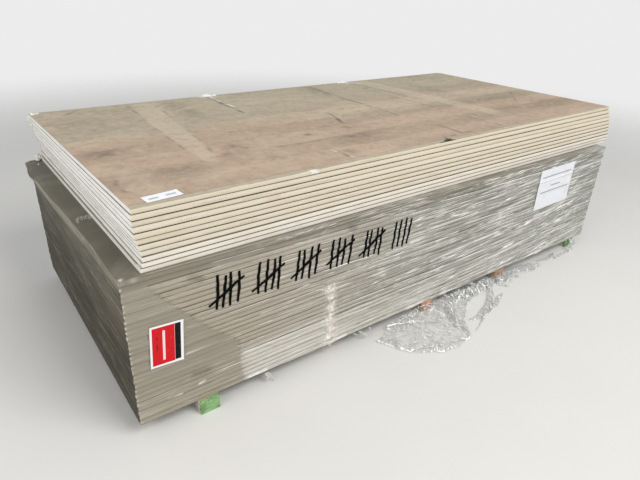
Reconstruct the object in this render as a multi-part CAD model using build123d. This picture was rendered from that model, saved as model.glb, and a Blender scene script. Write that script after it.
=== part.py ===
from build123d import *
import os

os.makedirs("parts", exist_ok=True)

# A film-wrapped pack of plasterboard sheets on five bearers, with a loose pile
# of the same sheets on top.
# +X runs along the sheets, -Y is the long front face, +Z is up.
# The origin is on the ground, under the middle of the wrapped pack.

# One sheet: paper-faced board whose two long edges taper on the face side
board_length = 2600.0
board_width = 1200.0
board_thickness = 18.0
taper_width = 60.0
taper_depth = 1.5
edge_rounding = 2.0

# How many sheets lie in the wrapped pack and in the loose pile
lower_count = 29
upper_count = 11

# The wrapped pack is squared up well. Each sheet sits a little off the one
# below, in a pattern that repeats up the pack.
lower_slide_x = (0.0, 1.5, -1.0, 2.5, -2.0, 0.5, -1.5)
lower_slide_y = (0.0, -1.0, 1.5, -0.5, 1.0)

# The loose pile was laid by hand. From the top sheet down: which sheets lie
# face down, how far each has slid, and how far it is turned, in degrees.
upper_face_down = (True, True, False, True, False, True, False, True, True, False, True)
upper_slide_x = (-6.0, -6.0, -4.0, -3.0, -3.0, 2.0, 7.0, 11.0, 12.0, 9.0, 4.0)
upper_slide_y = (14.0, 9.0, 6.0, 2.0, -1.0, -1.0, -2.0, -2.0, -3.0, 1.0, 5.0)
upper_turn = (0.45, 0.30, 0.12, 0.10, 0.0, -0.03, -0.05, -0.06, -0.05, 0.02, 0.06)
pile_place_x = 50.0
pile_place_y = 24.0
pile_turn = 0.8

# Knocks on the top sheet: two crushed back corners and a tear in the front edge
knocked_corner_left = 14.0
knocked_corner_right = 22.0
tear_from_left = 1262.0
tear_length = 96.0
tear_into_sheet = 28.0
tear_down = 8.0

# Bearers: one under the middle, one on each side of it, and one in from each end.
# They were pushed in by hand, so each front end lies at its own depth, measured in
# from the sheets' front edges. The second from the left lies well under the pack.
bearer_width = 70.0
bearer_height = 54.0
bearer_chamfer = 2.0
bearer_shortfall = 58.0
bearer_from_left = 229.0
bearer_from_right = 105.0
inner_bearer_from_centre = 536.0
bearer_depth_in = (-16.0, 58.0, 0.0, 3.0, 8.0)

# Stretch film over the top and four sides of the pack, turned under its edges
film_thickness = 0.5
film_turned_under = 55.0
film_bearer_clearance = 1.0

# Loose tail of the film on the ground. Its outer edge runs through these points:
# how far along from the centre bearer, and how far out from that bearer's end.
tail_thickness = 8.0
tail_edge_chamfer = 6.0
tail_outline = ((-327, 81), (-235, 195), (-120, 254), (-20, 258), (137, 204), (411, 112), (640, 46))
tail_strip_depth = 46.0
tail_strip_from_right = 110.0
tail_cut_back = 90.0

# Card label and paper notice on the film of the front face
paper_thickness = 0.3
card_label_width = 105.0
card_label_height = 148.0
card_label_from_left = 112.0
card_label_from_top = 251.0
card_label_tilt = 4.0
notice_width = 297.0
notice_height = 210.0
notice_from_right = 447.0
notice_from_top = 137.0
notice_tilt = -1.0

# Strip label on the top sheet
strip_label_length = 108.0
strip_label_width = 45.0
strip_label_from_left = 105.0
strip_label_from_front = 42.0
strip_label_tilt = 4.0

# What follows from the sizes above
half_length = board_length / 2
half_width = board_width / 2
bearer_length = board_width - bearer_shortfall
pack_bottom = bearer_height
pack_top = pack_bottom + lower_count * board_thickness
pack_half_length = half_length + max(abs(slide) for slide in lower_slide_x)
pack_half_width = half_width + max(abs(slide) for slide in lower_slide_y)
pile_bottom = pack_top + film_thickness
pile_top = pile_bottom + upper_count * board_thickness
film_front = -pack_half_width - film_thickness
first_bearer = bearer_from_left - half_length
last_bearer = half_length - bearer_from_right
bearer_places = (first_bearer, -inner_bearer_from_centre, 0.0, inner_bearer_from_centre, last_bearer)


def sheet_section(face_down):
    """Cross-section of a sheet, standing on z = 0, with the taper on its face side."""
    middle = board_thickness / 2
    face = -1 if face_down else 1
    back_z = middle - face * middle
    face_z = middle + face * middle
    tapered_z = face_z - face * taper_depth
    flat_y = half_width - taper_width
    outline = Polyline(
        (-half_width, back_z),
        (half_width, back_z),
        (half_width, tapered_z),
        (flat_y, face_z),
        (-flat_y, face_z),
        (-half_width, tapered_z),
        close=True,
    )
    profile = make_face(Plane.YZ * outline)
    outer_corners = profile.vertices().filter_by(lambda v: abs(v.Y) > half_width - taper_width / 2)
    return fillet(outer_corners, edge_rounding)


def sheet(face_down):
    """A whole sheet, centred over the origin, its underside on z = 0."""
    return extrude(sheet_section(face_down), half_length, both=True)


def knocked(board):
    """A sheet with its two back corners crushed and its front edge torn from above."""
    for side, size in ((-1, knocked_corner_left), (1, knocked_corner_right)):
        corner = Location((side * half_length, half_width, board_thickness / 2), (0, 0, 45))
        board = board - corner * Box(size, size, 2 * board_thickness)
    tear = scale(Sphere(1), (tear_length / 2, tear_into_sheet, tear_down))
    return board - Location((tear_from_left - half_length, -half_width, board_thickness)) * tear


def pile_place(index):
    """Where a sheet of the loose pile lies, counted from the top sheet, 0."""
    middle = (
        pile_place_x + upper_slide_x[index],
        pile_place_y + upper_slide_y[index],
        pile_top - (index + 1) * board_thickness,
    )
    return Location(middle, (0, 0, pile_turn + upper_turn[index]))


def block(half_x, half_y, low_z, high_z):
    """A plain block round the Z axis, between two heights."""
    return Location((0, 0, (low_z + high_z) / 2)) * Box(2 * half_x, 2 * half_y, high_z - low_z)


def save(shape, node):
    shape.label = node
    export_step(shape, f"parts/{node}.step")


# Bearers: bars of glued board strips, sawn a little shorter than the pack is wide
for number, (place_x, depth_in) in enumerate(zip(bearer_places, bearer_depth_in), start=1):
    bar = Box(bearer_width, bearer_length, bearer_height)
    bar = chamfer(bar.edges().filter_by(Axis.Y), bearer_chamfer)
    middle = (place_x, depth_in - half_width + bearer_length / 2, bearer_height / 2)
    save(Location(middle) * bar, f"bearer_{number}")

# Wrapped pack, from the bottom sheet up, laid face to face in pairs
for index in range(lower_count):
    slide_x = lower_slide_x[index % len(lower_slide_x)]
    slide_y = lower_slide_y[index % len(lower_slide_y)]
    place = Location((slide_x, slide_y, pack_bottom + index * board_thickness))
    save(place * sheet(index % 2 == 1), f"lower_sheet_{index + 1:02d}")

# Stretch film: a thin hood, turned under the bottom sheet between the bearers
hood = block(
    pack_half_length + film_thickness,
    pack_half_width + film_thickness,
    pack_bottom - film_thickness,
    pack_top + film_thickness,
)
hood -= block(pack_half_length, pack_half_width, pack_bottom, pack_top)
hood -= block(
    pack_half_length - film_turned_under,
    pack_half_width - film_turned_under,
    pack_bottom - 2 * film_thickness,
    pack_bottom,
)
for place_x in bearer_places:
    slot = block(
        bearer_width / 2 + film_bearer_clearance,
        board_width,
        pack_bottom - 2 * film_thickness,
        pack_bottom,
    )
    hood -= Location((place_x, 0, 0)) * slot
save(hood, "stretch_film")

# Loose pile, from the top sheet down
for index in range(upper_count):
    board = sheet(upper_face_down[index])
    if index == 0:
        board = knocked(board)
    save(pile_place(index) * board, f"upper_sheet_{index + 1:02d}")

# Loose film tail: a low sheet that spreads from the centre bearer's front end,
# with a narrow strip along the pack's edge to the right
tail_back = bearer_depth_in[2] - half_width
tail_right = half_length - tail_strip_from_right
tail_left = tail_outline[0][0]
tail_strip_front = tail_back - tail_strip_depth
outer_points = [(along, tail_back - out) for along, out in tail_outline]
with BuildSketch() as tail_plan:
    with BuildLine():
        Spline(*outer_points)
        Polyline(
            outer_points[-1],
            (tail_right, tail_strip_front),
            (tail_right, tail_back),
            (tail_left + tail_cut_back, tail_back),
            outer_points[0],
        )
    make_face()
tail = extrude(tail_plan.sketch, tail_thickness)
tail = chamfer(tail.edges().group_by(Axis.Z)[-1], tail_edge_chamfer)
save(tail, "film_tail")

# Card label and paper notice, stuck flat on the film of the front face
paper_y = film_front - paper_thickness / 2
card_x = -pack_half_length + card_label_from_left
card_z = pack_top - card_label_from_top
card = Rot(0, card_label_tilt, 0) * Box(card_label_width, paper_thickness, card_label_height)
save(Location((card_x, paper_y, card_z)) * card, "card_label")

notice_x = pack_half_length - notice_from_right
notice_z = pack_top - notice_from_top
notice = Rot(0, notice_tilt, 0) * Box(notice_width, paper_thickness, notice_height)
save(Location((notice_x, paper_y, notice_z)) * notice, "paper_notice")

# Strip label, placed from the top sheet's front left corner
strip_middle = (
    strip_label_from_left - half_length,
    strip_label_from_front - half_width,
    board_thickness + paper_thickness / 2,
)
strip = Box(strip_label_length, strip_label_width, paper_thickness)
save(pile_place(0) * Location(strip_middle, (0, 0, strip_label_tilt)) * strip, "strip_label")
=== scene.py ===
import math

import bpy
import numpy as np
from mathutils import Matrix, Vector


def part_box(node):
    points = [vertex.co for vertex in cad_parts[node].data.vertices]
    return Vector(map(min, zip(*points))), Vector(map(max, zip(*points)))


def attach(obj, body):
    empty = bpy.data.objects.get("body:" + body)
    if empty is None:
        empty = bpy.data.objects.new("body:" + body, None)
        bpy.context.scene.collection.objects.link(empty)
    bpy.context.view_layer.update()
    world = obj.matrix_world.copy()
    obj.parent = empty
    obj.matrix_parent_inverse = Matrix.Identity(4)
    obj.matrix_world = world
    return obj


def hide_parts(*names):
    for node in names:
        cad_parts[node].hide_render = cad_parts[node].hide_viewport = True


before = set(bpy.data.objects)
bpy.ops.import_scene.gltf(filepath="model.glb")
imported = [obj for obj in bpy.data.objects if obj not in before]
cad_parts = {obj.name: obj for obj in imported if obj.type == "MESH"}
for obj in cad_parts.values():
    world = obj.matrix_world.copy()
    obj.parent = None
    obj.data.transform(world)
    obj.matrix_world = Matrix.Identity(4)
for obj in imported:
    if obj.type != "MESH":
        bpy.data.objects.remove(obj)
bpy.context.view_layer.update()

# Bearers: five bars of three plasterboard strips, glued flat and sawn to the width
# of the pack. Their sides show gypsum between thin lines of paper. The front ends
# were dipped in paint, green on the outer bars and orange on the inner ones.
green_paint, orange_paint = (118, 164, 102), (190, 140, 108)
bearer_paint = (green_paint, orange_paint, orange_paint, orange_paint, green_paint)
bearer_corner = 0.0022
end_rounding = 0.0012


def linear(colours):
    """Screen colours, 0 to 255, as linear ones, 0 to 1."""
    levels = np.asarray(colours, float) / 255
    return np.where(levels < 0.04045, levels / 12.92, ((levels + 0.055) / 1.055) ** 2.4)


def shade(colour):
    """A screen colour as a colour for a shader's socket."""
    return (*linear(colour).tolist(), 1.0)


class Wire:
    """A socket in a material. Sums on it add Math nodes, and node() adds any other kind."""

    def __init__(self, tree, socket=None):
        self.tree = tree
        self.socket = socket

    def node(self, kind, settings=(), sockets=(), output=0):
        made = self.tree.nodes.new(kind)
        for key, value in dict(settings).items():
            setattr(made, key, value)
        for key, value in dict(sockets).items():
            if isinstance(value, Wire):
                self.tree.links.new(value.socket, made.inputs[key])
            else:
                made.inputs[key].default_value = value
        return Wire(self.tree, made.outputs[output] if made.outputs else None)

    def math(self, operation, *others):
        return self.node("ShaderNodeMath", {"operation": operation}, enumerate((self, *others)))

    def __add__(self, other):
        return self.math("ADD", other)

    def __sub__(self, other):
        return self.math("SUBTRACT", other)

    def __rsub__(self, other):
        return self.node("ShaderNodeMath", {"operation": "SUBTRACT"}, {0: other, 1: self})

    def __mul__(self, other):
        return self.math("MULTIPLY", other)

    def __abs__(self):
        return self.math("ABSOLUTE")

    __radd__ = __add__
    __rmul__ = __mul__

    def rise(self, low, high):
        """0 below low, 1 above high, and smooth between them. Low may be the larger."""
        levels = {"Value": self, "From Min": low, "From Max": high}
        return self.node("ShaderNodeMapRange", {"interpolation_type": "SMOOTHSTEP"}, levels)

    def tint(self, colour, other):
        """The first colour where this wire is 0 and the other where it is 1."""
        colour, other = [c if isinstance(c, Wire) else shade(c) for c in (colour, other)]
        settings = {"data_type": "RGBA", "clamp_factor": True}
        return self.node("ShaderNodeMix", settings, {0: self, 6: colour, 7: other}, 2)

    def under(self, *layers):
        """This colour with others laid over it, each as far as its mask says."""
        seen = self
        for mask, colour in layers:
            seen = mask.tint(seen, colour)
        return seen

    def mark(self, name, output="Fac"):
        """A value painted on the mesh's points."""
        return self.node("ShaderNodeAttribute", {"attribute_name": name}, output=output)

    def stretch(self, x, y, z):
        return self.node("ShaderNodeVectorMath", {"operation": "MULTIPLY"}, {0: self, 1: (x, y, z)})

    def noise(self, scale, detail=3.0, roughness=0.5):
        sockets = {"Vector": self, "Scale": scale, "Detail": detail, "Roughness": roughness}
        return self.node("ShaderNodeTexNoise", {}, sockets)

    def shift(self, other):
        """This vector moved by another one."""
        return self.node("ShaderNodeVectorMath", {"operation": "ADD"}, {0: self, 1: other})

    def join(self, y, z=0.0):
        """A vector whose first part is this wire."""
        return self.node("ShaderNodeCombineXYZ", {}, {0: self, 1: y, 2: z})

    def parts(self):
        """The three parts of a vector."""
        outputs = self.node("ShaderNodeSeparateXYZ", {}, {0: self}).socket.node.outputs
        return [Wire(self.tree, output) for output in outputs]

    def bump(self, depth, strength=1.0):
        sockets = {"Height": self, "Distance": depth, "Strength": strength}
        return self.node("ShaderNodeBump", {}, sockets)

    def coat(self, **sockets):
        """Closes the material with one Principled shader."""
        named = {key.replace("_", " "): value for key, value in sockets.items()}
        shader = self.node("ShaderNodeBsdfPrincipled", {}, named)
        self.node("ShaderNodeOutputMaterial", {}, {0: shader})


def finish(name):
    """A new material and a wire to start it from, with the piece's own coordinates."""
    material = bpy.data.materials.new(name)
    material.use_nodes = True
    material.node_tree.nodes.clear()
    return material, Wire(material.node_tree).node("ShaderNodeTexCoord", output="Object")


def waves(seed, u, v, length_u, length_v):
    """Smooth seeded noise from -1 to 1, whose waves have these two lengths."""
    table = np.random.default_rng(seed).uniform(-1, 1, (64, 64))
    u, v = np.broadcast_arrays(u, v)
    u, v = u / length_u, v / length_v
    i, j = np.floor(u).astype(int), np.floor(v).astype(int)
    s, t = u - i, v - j
    s, t = s * s * (3 - 2 * s), t * t * (3 - 2 * t)
    i, j, next_i, next_j = i % 64, j % 64, (i + 1) % 64, (j + 1) % 64
    near = table[i, j] * (1 - s) + table[next_i, j] * s
    far = table[i, next_j] * (1 - s) + table[next_i, next_j] * s
    return near * (1 - t) + far * t


def spots(x, y, z):
    """A grid of points. Each part is spread over the whole of it."""
    return np.stack(np.broadcast_arrays(x, y, z), -1)


def quilt(rows, columns, ring=False, start=0, flip=False):
    """Four-cornered faces over rows of points. A ring joins each row's end to its start."""
    row, column = np.meshgrid(np.arange(rows - 1), np.arange(columns - (not ring)), indexing="ij")
    near, far = row * columns + column, row * columns + (column + 1) % columns
    faces = np.stack([near, far, far + columns, near + columns], -1).reshape(-1, 4) + start
    return (faces[:, ::-1] if flip else faces).tolist()


def enter(name, data):
    """A new object in the scene."""
    made = bpy.data.objects.new(name, data)
    bpy.context.scene.collection.objects.link(made)
    return made


def make(name, grids, faces, finishes, worn=None, marks=(), sharp=40):
    """A mesh over one grid of points or more. Worn says which finish each face has."""
    mesh = bpy.data.meshes.new(name)
    points = np.concatenate([np.reshape(grid, (-1, 3)) for grid in grids])
    mesh.from_pydata(points.tolist(), [], faces)
    for material in finishes:
        mesh.materials.append(material)
    mesh.polygons.foreach_set("use_smooth", [True] * len(faces))
    if worn is not None:
        mesh.polygons.foreach_set("material_index", worn)
    for key, values in dict(marks).items():
        values = np.asarray(values, float)
        kind = {1: "FLOAT", 3: "FLOAT_VECTOR", 4: "FLOAT_COLOR"}[values.size // len(mesh.vertices)]
        field = {"FLOAT": "value", "FLOAT_VECTOR": "vector", "FLOAT_COLOR": "color"}[kind]
        mesh.attributes.new(key, kind, "POINT").data.foreach_set(field, values.ravel())
    mesh.set_sharp_from_angle(angle=math.radians(sharp))
    return enter(name, mesh)


def bearer_finish(name, paint, painted_to):
    """Sawn gypsum with lines of paper and glue, and a painted end with a ragged edge."""
    material, place = finish(name)
    x, y, z = place.parts()
    grain = place.stretch(1, 0.35, 1).noise(220, 5, 0.65)
    pits = place.noise(900, 2).rise(0.62, 0.72)
    paper = abs(z.math("WRAP", 0.009, -0.009)).rise(0.0011, 0.0006)
    edge = y + place.noise(60, 4) * 0.024
    painted = edge.rise(painted_to + 0.026, painted_to + 0.02)
    worn = place.noise(110, 4, 0.7).rise(0.56, 0.66)
    dirt = place.noise(14, 4).rise(0.48, 0.75)
    thin = place.shift((0.3, 0.0, 0.0)).noise(38, 4, 0.6).rise(0.42, 0.62)
    coats = [[min(part * share + lift, 255) for part in paint] for share, lift in ((0.84, 0), (1.0, 14))]
    colour = grain.tint((196, 190, 176), (226, 222, 210)).under(
        (paper, (168, 150, 126)),
        (painted * (1 - worn * 0.8), (thin + grain * 0.3).tint(*coats)),
        (dirt * 0.4, (112, 106, 96)),
    )
    relief = grain - pits * 0.5 - paper * 0.2
    place.coat(Base_Color=colour, Roughness=0.95 - painted * 0.25, Normal=relief.bump(0.0015, 0.7))
    return material


for number, paint in enumerate(bearer_paint, start=1):
    node = f"bearer_{number}"
    low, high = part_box(node)
    half, height = (high.x - low.x) / 2, high.z - low.z
    strip = height / 3
    side = [(half - 0.0018, 0), (half - 0.0003, 0.0004), (half, bearer_corner)]
    for joint in (strip, 2 * strip):
        side += [(half, joint - strip / 2), (half, joint - 0.0008)]
        side += [(half - 0.0011, joint), (half, joint + 0.0008)]
    side += [(half, height - strip / 2), (half, height - bearer_corner)]
    side += [(half - 0.0003, height - 0.0004), (half - 0.0018, height)]
    across, up = np.array(side + [(-x, z) for x, z in reversed(side)]).T
    along = np.linspace(low.y + 0.012, high.y - 0.012, 84)
    along = np.array([low.y, low.y + end_rounding, *along, high.y - end_rounding, high.y])[:, None]
    ragged = np.abs(waves(number, along, up + across, 0.035, 0.007))
    ragged = ragged * np.where(np.abs(across) > half - 0.001, 0.0012, 0)
    points = spots((low.x + high.x) / 2 + across - np.sign(across) * ragged, along, low.z + up)
    for end in (0, -1):
        middle = points[end].mean(0)
        points[end] = middle + (points[end] - middle) * 0.975
    count, total = len(across), points.size // 3
    faces = quilt(len(along), count, ring=True)
    faces += [list(range(count))[::-1], list(range(total - count, total))]
    bar = make(f"{node}_bar", [points], faces, [bearer_finish(f"{node}_gypsum", paint, low.y)])
    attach(bar, "root")
    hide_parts(node)

# Sheets of plasterboard in the wrapped pack: a gypsum core between two papers. The
# ivory face paper folds round both long edges on to the back, which is brown-grey.
# The short ends are cut, so the gypsum shows there, a little inside the papers.
sheet_length, sheet_width, sheet_thickness = 2.6, 1.2, 0.018
half_length, half_width = sheet_length / 2, sheet_width / 2
taper_width, taper_depth = 0.06, 0.0015
wrap_width = 0.030
wrapped_count = 29
ivory_paper = (220, 209, 187)
back_paper = (184, 166, 146)
gypsum = (245, 244, 239)

# half a sheet's outline, face up: how far in from the long edge, and how high
long_edge = (
    (wrap_width + 0.0006, 0.0),
    (wrap_width - 0.0006, 0.0001),
    *((inward, 0.0) for inward in (0.025, 0.020, 0.015, 0.011, 0.007, 0.004, 0.002)),
    *((0.0008, 0.0005), (0.0001, 0.0016)),
    *((0.0, 0.0055), (-0.0001, 0.009), (0.0, 0.0125)),
    *((0.0001, 0.0157), (0.0006, 0.0167), (0.002, 0.0171)),
    *((0.005, 0.01716), (0.011, 0.0172), (0.02, 0.0174), (0.045, 0.0178), (0.062, 0.018)),
)


def dim(colour, share):
    return [part * share for part in colour]


def paper_finish(name, back_colour):
    """Both papers: ivory where it is painted so, with painted shade where a neighbour covers them."""
    material, place = finish(name)
    x, y, z = place.parts()
    ivory, tone, inside = [place.mark(key) for key in ("ivory", "tone", "inside")]
    spot = place.shift(place.mark("lot", "Vector"))
    fibre = spot.stretch(0.3, 1, 1).noise(420, 5, 0.7)
    cloud = spot.stretch(0.4, 1, 1).noise(9, 4, 0.6)
    low_side = z.rise(0.0095, 0.0035) * spot.stretch(1, 0, 0).noise(14, 3, 0.6).rise(0.35, 0.65)
    # Nicks in the paper edge are painted dark for the shade in them; the dots beside them are print.
    shaded_nick = spot.stretch(1, 0, 0.28).noise(165, 3, 0.6).rise(0.70, 0.735)
    scuff = spot.stretch(0.12, 0, 1).noise(300, 3, 0.65).rise(0.60, 0.68)
    gate = spot.stretch(1, 1, 4).noise(5.5, 1).rise(0.62, 0.65)
    row = abs(x.math("WRAP", 0.0035, -0.0035)).rise(0.0018, 0.0011)
    line = abs(z - 0.0085).rise(0.0030, 0.0020)
    dots = gate * row * line * fibre.rise(0.35, 0.55)
    smear = spot.stretch(1, 0, 1).noise(7, 2, 0.5).rise(0.66, 0.74)
    edge = fibre.tint(ivory_paper, dim(ivory_paper, 0.93)).under(
        (tone, (230, 224, 214)),
        (cloud.rise(0.48, 0.72) * 0.5, (203, 190, 164)),
        (low_side * 0.28, (190, 176, 152)),
        (smear * 0.35, (196, 158, 144)),
        (scuff * 0.5, (242, 236, 224)),
        (shaded_nick * 0.8 + dots * 0.42, (84, 74, 62)),
    )
    uneven = spot.stretch(1, 0, 0).noise(5, 3, 0.6).rise(0.2, 0.7)
    # Painted shade: along the rounded corners by each joint, and darker where a neighbour covers the paper.
    seam_shade = abs(z - 0.009).rise(0.0060, 0.0078) * abs(y).rise(0.5970, 0.5992)
    colour = ivory.tint(back_colour(spot, fibre, cloud), edge).under(
        (seam_shade * (tone.rise(0.25, 0.7) * 0.7 + 0.2), (72, 60, 42)),
        (inside * (uneven * 0.14 + 0.84), (50, 40, 27)),
    )
    relief = fibre * 0.35 - shaded_nick * 1.2 + scuff * 0.3 + cloud * 0.4
    place.coat(Base_Color=colour, Roughness=0.82, Normal=relief.bump(0.0006, 0.6))
    return material


def plain_back(place, fibre, cloud):
    """Back paper: recycled stock with long clouds and fine dark fibres."""
    colour = fibre.tint(back_paper, dim(back_paper, 0.93))
    return colour.under((cloud.rise(0.35, 0.7) * 0.5, (168, 156, 134)))


def gypsum_finish(name):
    """The cut core: white, scored by the knife, pitted, with the two papers' cut edges, and painted shade in
    the gaps between the sheets.
    """
    material, place = finish(name)
    x, y, z = place.parts()
    spot = place.shift(place.mark("lot", "Vector"))
    grain = spot.noise(520, 5, 0.7)
    score = spot.stretch(1, 1, 0.12).noise(300, 3)
    pits = spot.noise(410, 3, 0.7).rise(0.62, 0.74)
    dirt = spot.stretch(1, 1, 3).noise(13, 4, 0.6).rise(0.46, 0.74)
    chalk = spot.stretch(1, 0.5, 2).noise(60, 3, 0.6).rise(0.5, 0.7)
    ragged = abs(z - sheet_thickness / 2) + spot.stretch(1, 1, 0).noise(160, 3) * 0.0008
    colour = grain.tint(gypsum, dim(gypsum, 0.94)).under(
        (chalk * 0.5, (250, 249, 245)),
        (pits * 0.6, (140, 134, 122)),
        (dirt * 0.24, (176, 167, 150)),
        (ragged.rise(0.0078, 0.0085) * 0.6, (118, 104, 86)),
        # painted shade along the gap below the cut end
        (place.mark("inside") * 0.95, (50, 42, 34)),
    )
    relief = grain * 0.6 + score * 0.5 - pits
    place.coat(Base_Color=colour, Roughness=0.95, Normal=relief.bump(0.0012, 0.8))
    return material


def ramp(value, low, high):
    """0 below low and 1 above high, smooth between. Low may be the larger."""
    share = np.clip((value - low) / (high - low), 0, 1)
    return share * share * (3 - 2 * share)


def lie(node):
    """A sheet's place: the front left and right corners of its solid give middle and turn."""
    corners = np.array([v.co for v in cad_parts[node].data.vertices])
    left = corners[(corners[:, 1] + 0.001 * corners[:, 0]).argmin()]
    right = corners[(corners[:, 0] - 0.001 * corners[:, 1]).argmax()]
    turn = math.atan2(right[1] - left[1], right[0] - left[0])
    c, s = math.cos(turn), math.sin(turn)
    middle = (left[0] + c * half_length - s * half_width, left[1] + s * half_length + c * half_width)
    return middle, corners[:, 2].min(), turn


def put(piece, place):
    """Moves a piece that was made round the origin to a sheet's place."""
    middle, low, turn = place
    piece.location = (*middle, low)
    piece.rotation_euler.z = turn


def sheet_skin(seed, face_down, along, inner):
    """The papers as rings of points, how ivory each is, and how far in from the edges."""
    half = [(-y, 0.0) for y in inner if y < half_width - wrap_width - 0.001]
    half += [(inward - half_width, z) for inward, z in long_edge]
    half += [(-y, sheet_thickness) for y in (0.5, 0.25, 0.0)]
    across, up = np.array(half + [(-y, z) for y, z in reversed(half)]).T
    on_back = (up < 0.0012) & (np.abs(across) < half_width - wrap_width)
    if face_down:
        up = sheet_thickness - up
    along = along[:, None]
    long_wave = waves(seed, along, np.sign(across) * 9.3, 0.32, 1.0)
    short_wave = waves(seed + 1, along, up + np.sign(across) * 3.1, 0.03, 0.012)
    at_edge = np.clip((np.abs(across) - half_width + 0.03) / 0.03, 0, 1)
    drawn_in = np.sign(across) * at_edge * np.abs(long_wave * 0.0007 + short_wave * 0.00025)
    depth = np.minimum(half_length - np.abs(along), half_width - np.abs(across))
    return spots(along, across - drawn_in, up), np.repeat(1.0 - on_back[None, :], len(along), 0), depth


def covered(points, depth, own, other):
    """1 where a neighbour lies over these points of a sheet, and 0 at its open edges."""
    (own_middle, _, own_turn), (middle, _, turn) = own, other
    c, s = math.cos(own_turn), math.sin(own_turn)
    off_x, off_y = middle[0] - own_middle[0], middle[1] - own_middle[1]
    off_x, off_y = c * off_x + s * off_y, c * off_y - s * off_x
    x = points[..., 0] - off_x
    y = points[..., 1] - off_y - x * math.tan(turn - own_turn)
    under = np.minimum(half_length - np.abs(x), half_width - np.abs(y))
    return ramp(np.minimum(under, depth), -0.0001, 0.0006)


def sheet_end(seed, face_down, side, stations, sink):
    """Points of one cut end: a rough plate just inside the papers."""
    level = np.array([0.0, 0.0006, 0.0013, 0.0045, 0.009, 0.0135, 0.0168, 0.0174, 1.0])
    across = np.linspace(0.0007 - half_width, half_width - 0.0007, stations)
    fall = np.clip((np.abs(across) - half_width + taper_width) / taper_width, 0, 1) * taper_depth
    bottom = 0.0003 + fall * face_down
    top = sheet_thickness - 0.0003 - fall * (not face_down)
    share = np.clip(level / sheet_thickness, 0, 1)[:, None]
    up = bottom + (top - bottom) * share
    rough = np.abs(waves(seed, across, up * 1.7, 0.018, 0.006)) * 0.7
    rough = rough + np.abs(waves(seed + 2, across, up, 0.15, 0.03)) * 0.8
    lip = np.clip(np.minimum(share, 1 - share) * 12, 0.15, 1)
    return spots(side * (half_length - 0.0003 - rough * lip * sink), across, up)


def sheet_marks(skin, ivory, ends, tone, seed, inside, gap_shade):
    """What is painted on a sheet's points: the papers first, and then its two cut ends."""
    spare = sum(end.size // 3 for end in ends)
    count = skin.size // 3 + spare
    # the two lowest rows of each cut end take the painted shade of the gap below it
    lines = [np.zeros(end.shape[:2]) for end in ends]
    for line in lines:
        line[:2] = gap_shade
    lot = (seed * 0.37 % 5, seed * 0.73 % 3, seed * 0.19 % 2)
    return {
        "ivory": np.concatenate([ivory.ravel(), np.ones(spare)]),
        "inside": np.concatenate([part.ravel() for part in (inside, *lines)]),
        "tone": np.full(count, tone),
        "lot": np.tile(lot, (count, 1)),
    }


def join_sheet(name, node, skin, ends, papers, marks, face_down):
    """The papers and the two cut ends as one piece, where the sheet's solid lies."""
    faces = quilt(*skin.shape[:2], ring=True, flip=not face_down)
    worn, start = [0] * len(faces), skin.size // 3
    for end, left in zip(ends, (True, False)):
        faces += quilt(*end.shape[:2], start=start, flip=left)
        start += end.size // 3
    worn += [1] * (len(faces) - len(worn))
    made = make(name, [skin, *ends], faces, [papers, gypsum_cut], worn, marks)
    put(made, lie(node))
    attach(made, "root")
    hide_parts(node)


def build_sheet(name, node, above, below, seed, face_down, step, stations, tone=0.0, gap_shade=0.3):
    """A whole sheet where its solid lies, between the sheets above and below it."""
    along = np.linspace(-half_length, half_length, round(sheet_length / step) + 1)
    along = np.sort([*along, *(along[0] + (0.003, 0.009)), *(along[-1] - (0.003, 0.009))])
    skin, ivory, depth = sheet_skin(seed, face_down, along, (0.0, 0.25, 0.5))
    own = lie(node)
    # where a neighbour lies over or under the papers, which get painted shade there
    over_it = covered(skin, depth, own, lie(above)) if above else 0.0
    under_it = covered(skin, depth, own, lie(below) if below else own)
    inside = np.where(skin[..., 2] > sheet_thickness / 2, over_it, under_it)
    ends = [sheet_end(seed + 5 * side, face_down, side, stations, 0.0012) for side in (-1, 1)]
    marks = sheet_marks(skin, ivory, ends, tone, seed, inside, gap_shade)
    join_sheet(name, node, skin, ends, paper_skin, marks, face_down)


paper_skin = paper_finish("board_papers", plain_back)
gypsum_cut = gypsum_finish("cut_gypsum")
for number in range(1, wrapped_count + 1):
    build_sheet(
        f"wrapped_sheet_{number:02d}",
        f"lower_sheet_{number:02d}",
        f"lower_sheet_{number + 1:02d}" if number < wrapped_count else None,
        f"lower_sheet_{number - 1:02d}" if number > 1 else None,
        seed=100 + 10 * number,
        face_down=number % 2 == 0,
        step=0.10,
        stations=60,
        tone=0.3 * (number % 3 == 0),
    )

# Stretch film over the pack: one clear bag, pulled down tight and turned under. It
# is dusty and brownish where it lies double at the left and over the top, and it
# runs in white creases along the sheets' edges towards the right end. Its colour
# also holds painted light: glints on the creases, highlights and shade along the
# sheets' joints, and shade over the left end.
film_gap, turned_under = 0.0007, 0.055
front_side, right_side, back_side, left_side = range(4)
crease_and_glint_white = (253, 251, 246)


def bell(off):
    """1 in the middle, falling off softly on both sides."""
    return np.exp(-(off**2))


def stroke(x, y, start, end, width):
    """1 along a line from start to end, falling off softly at half of this width."""
    (ax, ay), (bx, by) = start, end
    run = ((x - ax) * (bx - ax) + (y - ay) * (by - ay)) / ((bx - ax) ** 2 + (by - ay) ** 2)
    run = np.clip(run, 0, 1)
    gap = np.hypot(x - ax - run * (bx - ax), y - ay - run * (by - ay))
    return bell(gap / (width / 2))


def patch(x, y, middle, size):
    """1 in the middle of a soft oval patch."""
    return np.exp(-(((x - middle[0]) / size[0]) ** 2) - ((y - middle[1]) / size[1]) ** 2)


def strongest(mark, x, y, table):
    """The strongest of many marks at each point. Each row ends with the mark's strength."""
    return np.maximum.reduce([mark(x, y, *where) * strength for *where, strength in table])


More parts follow.
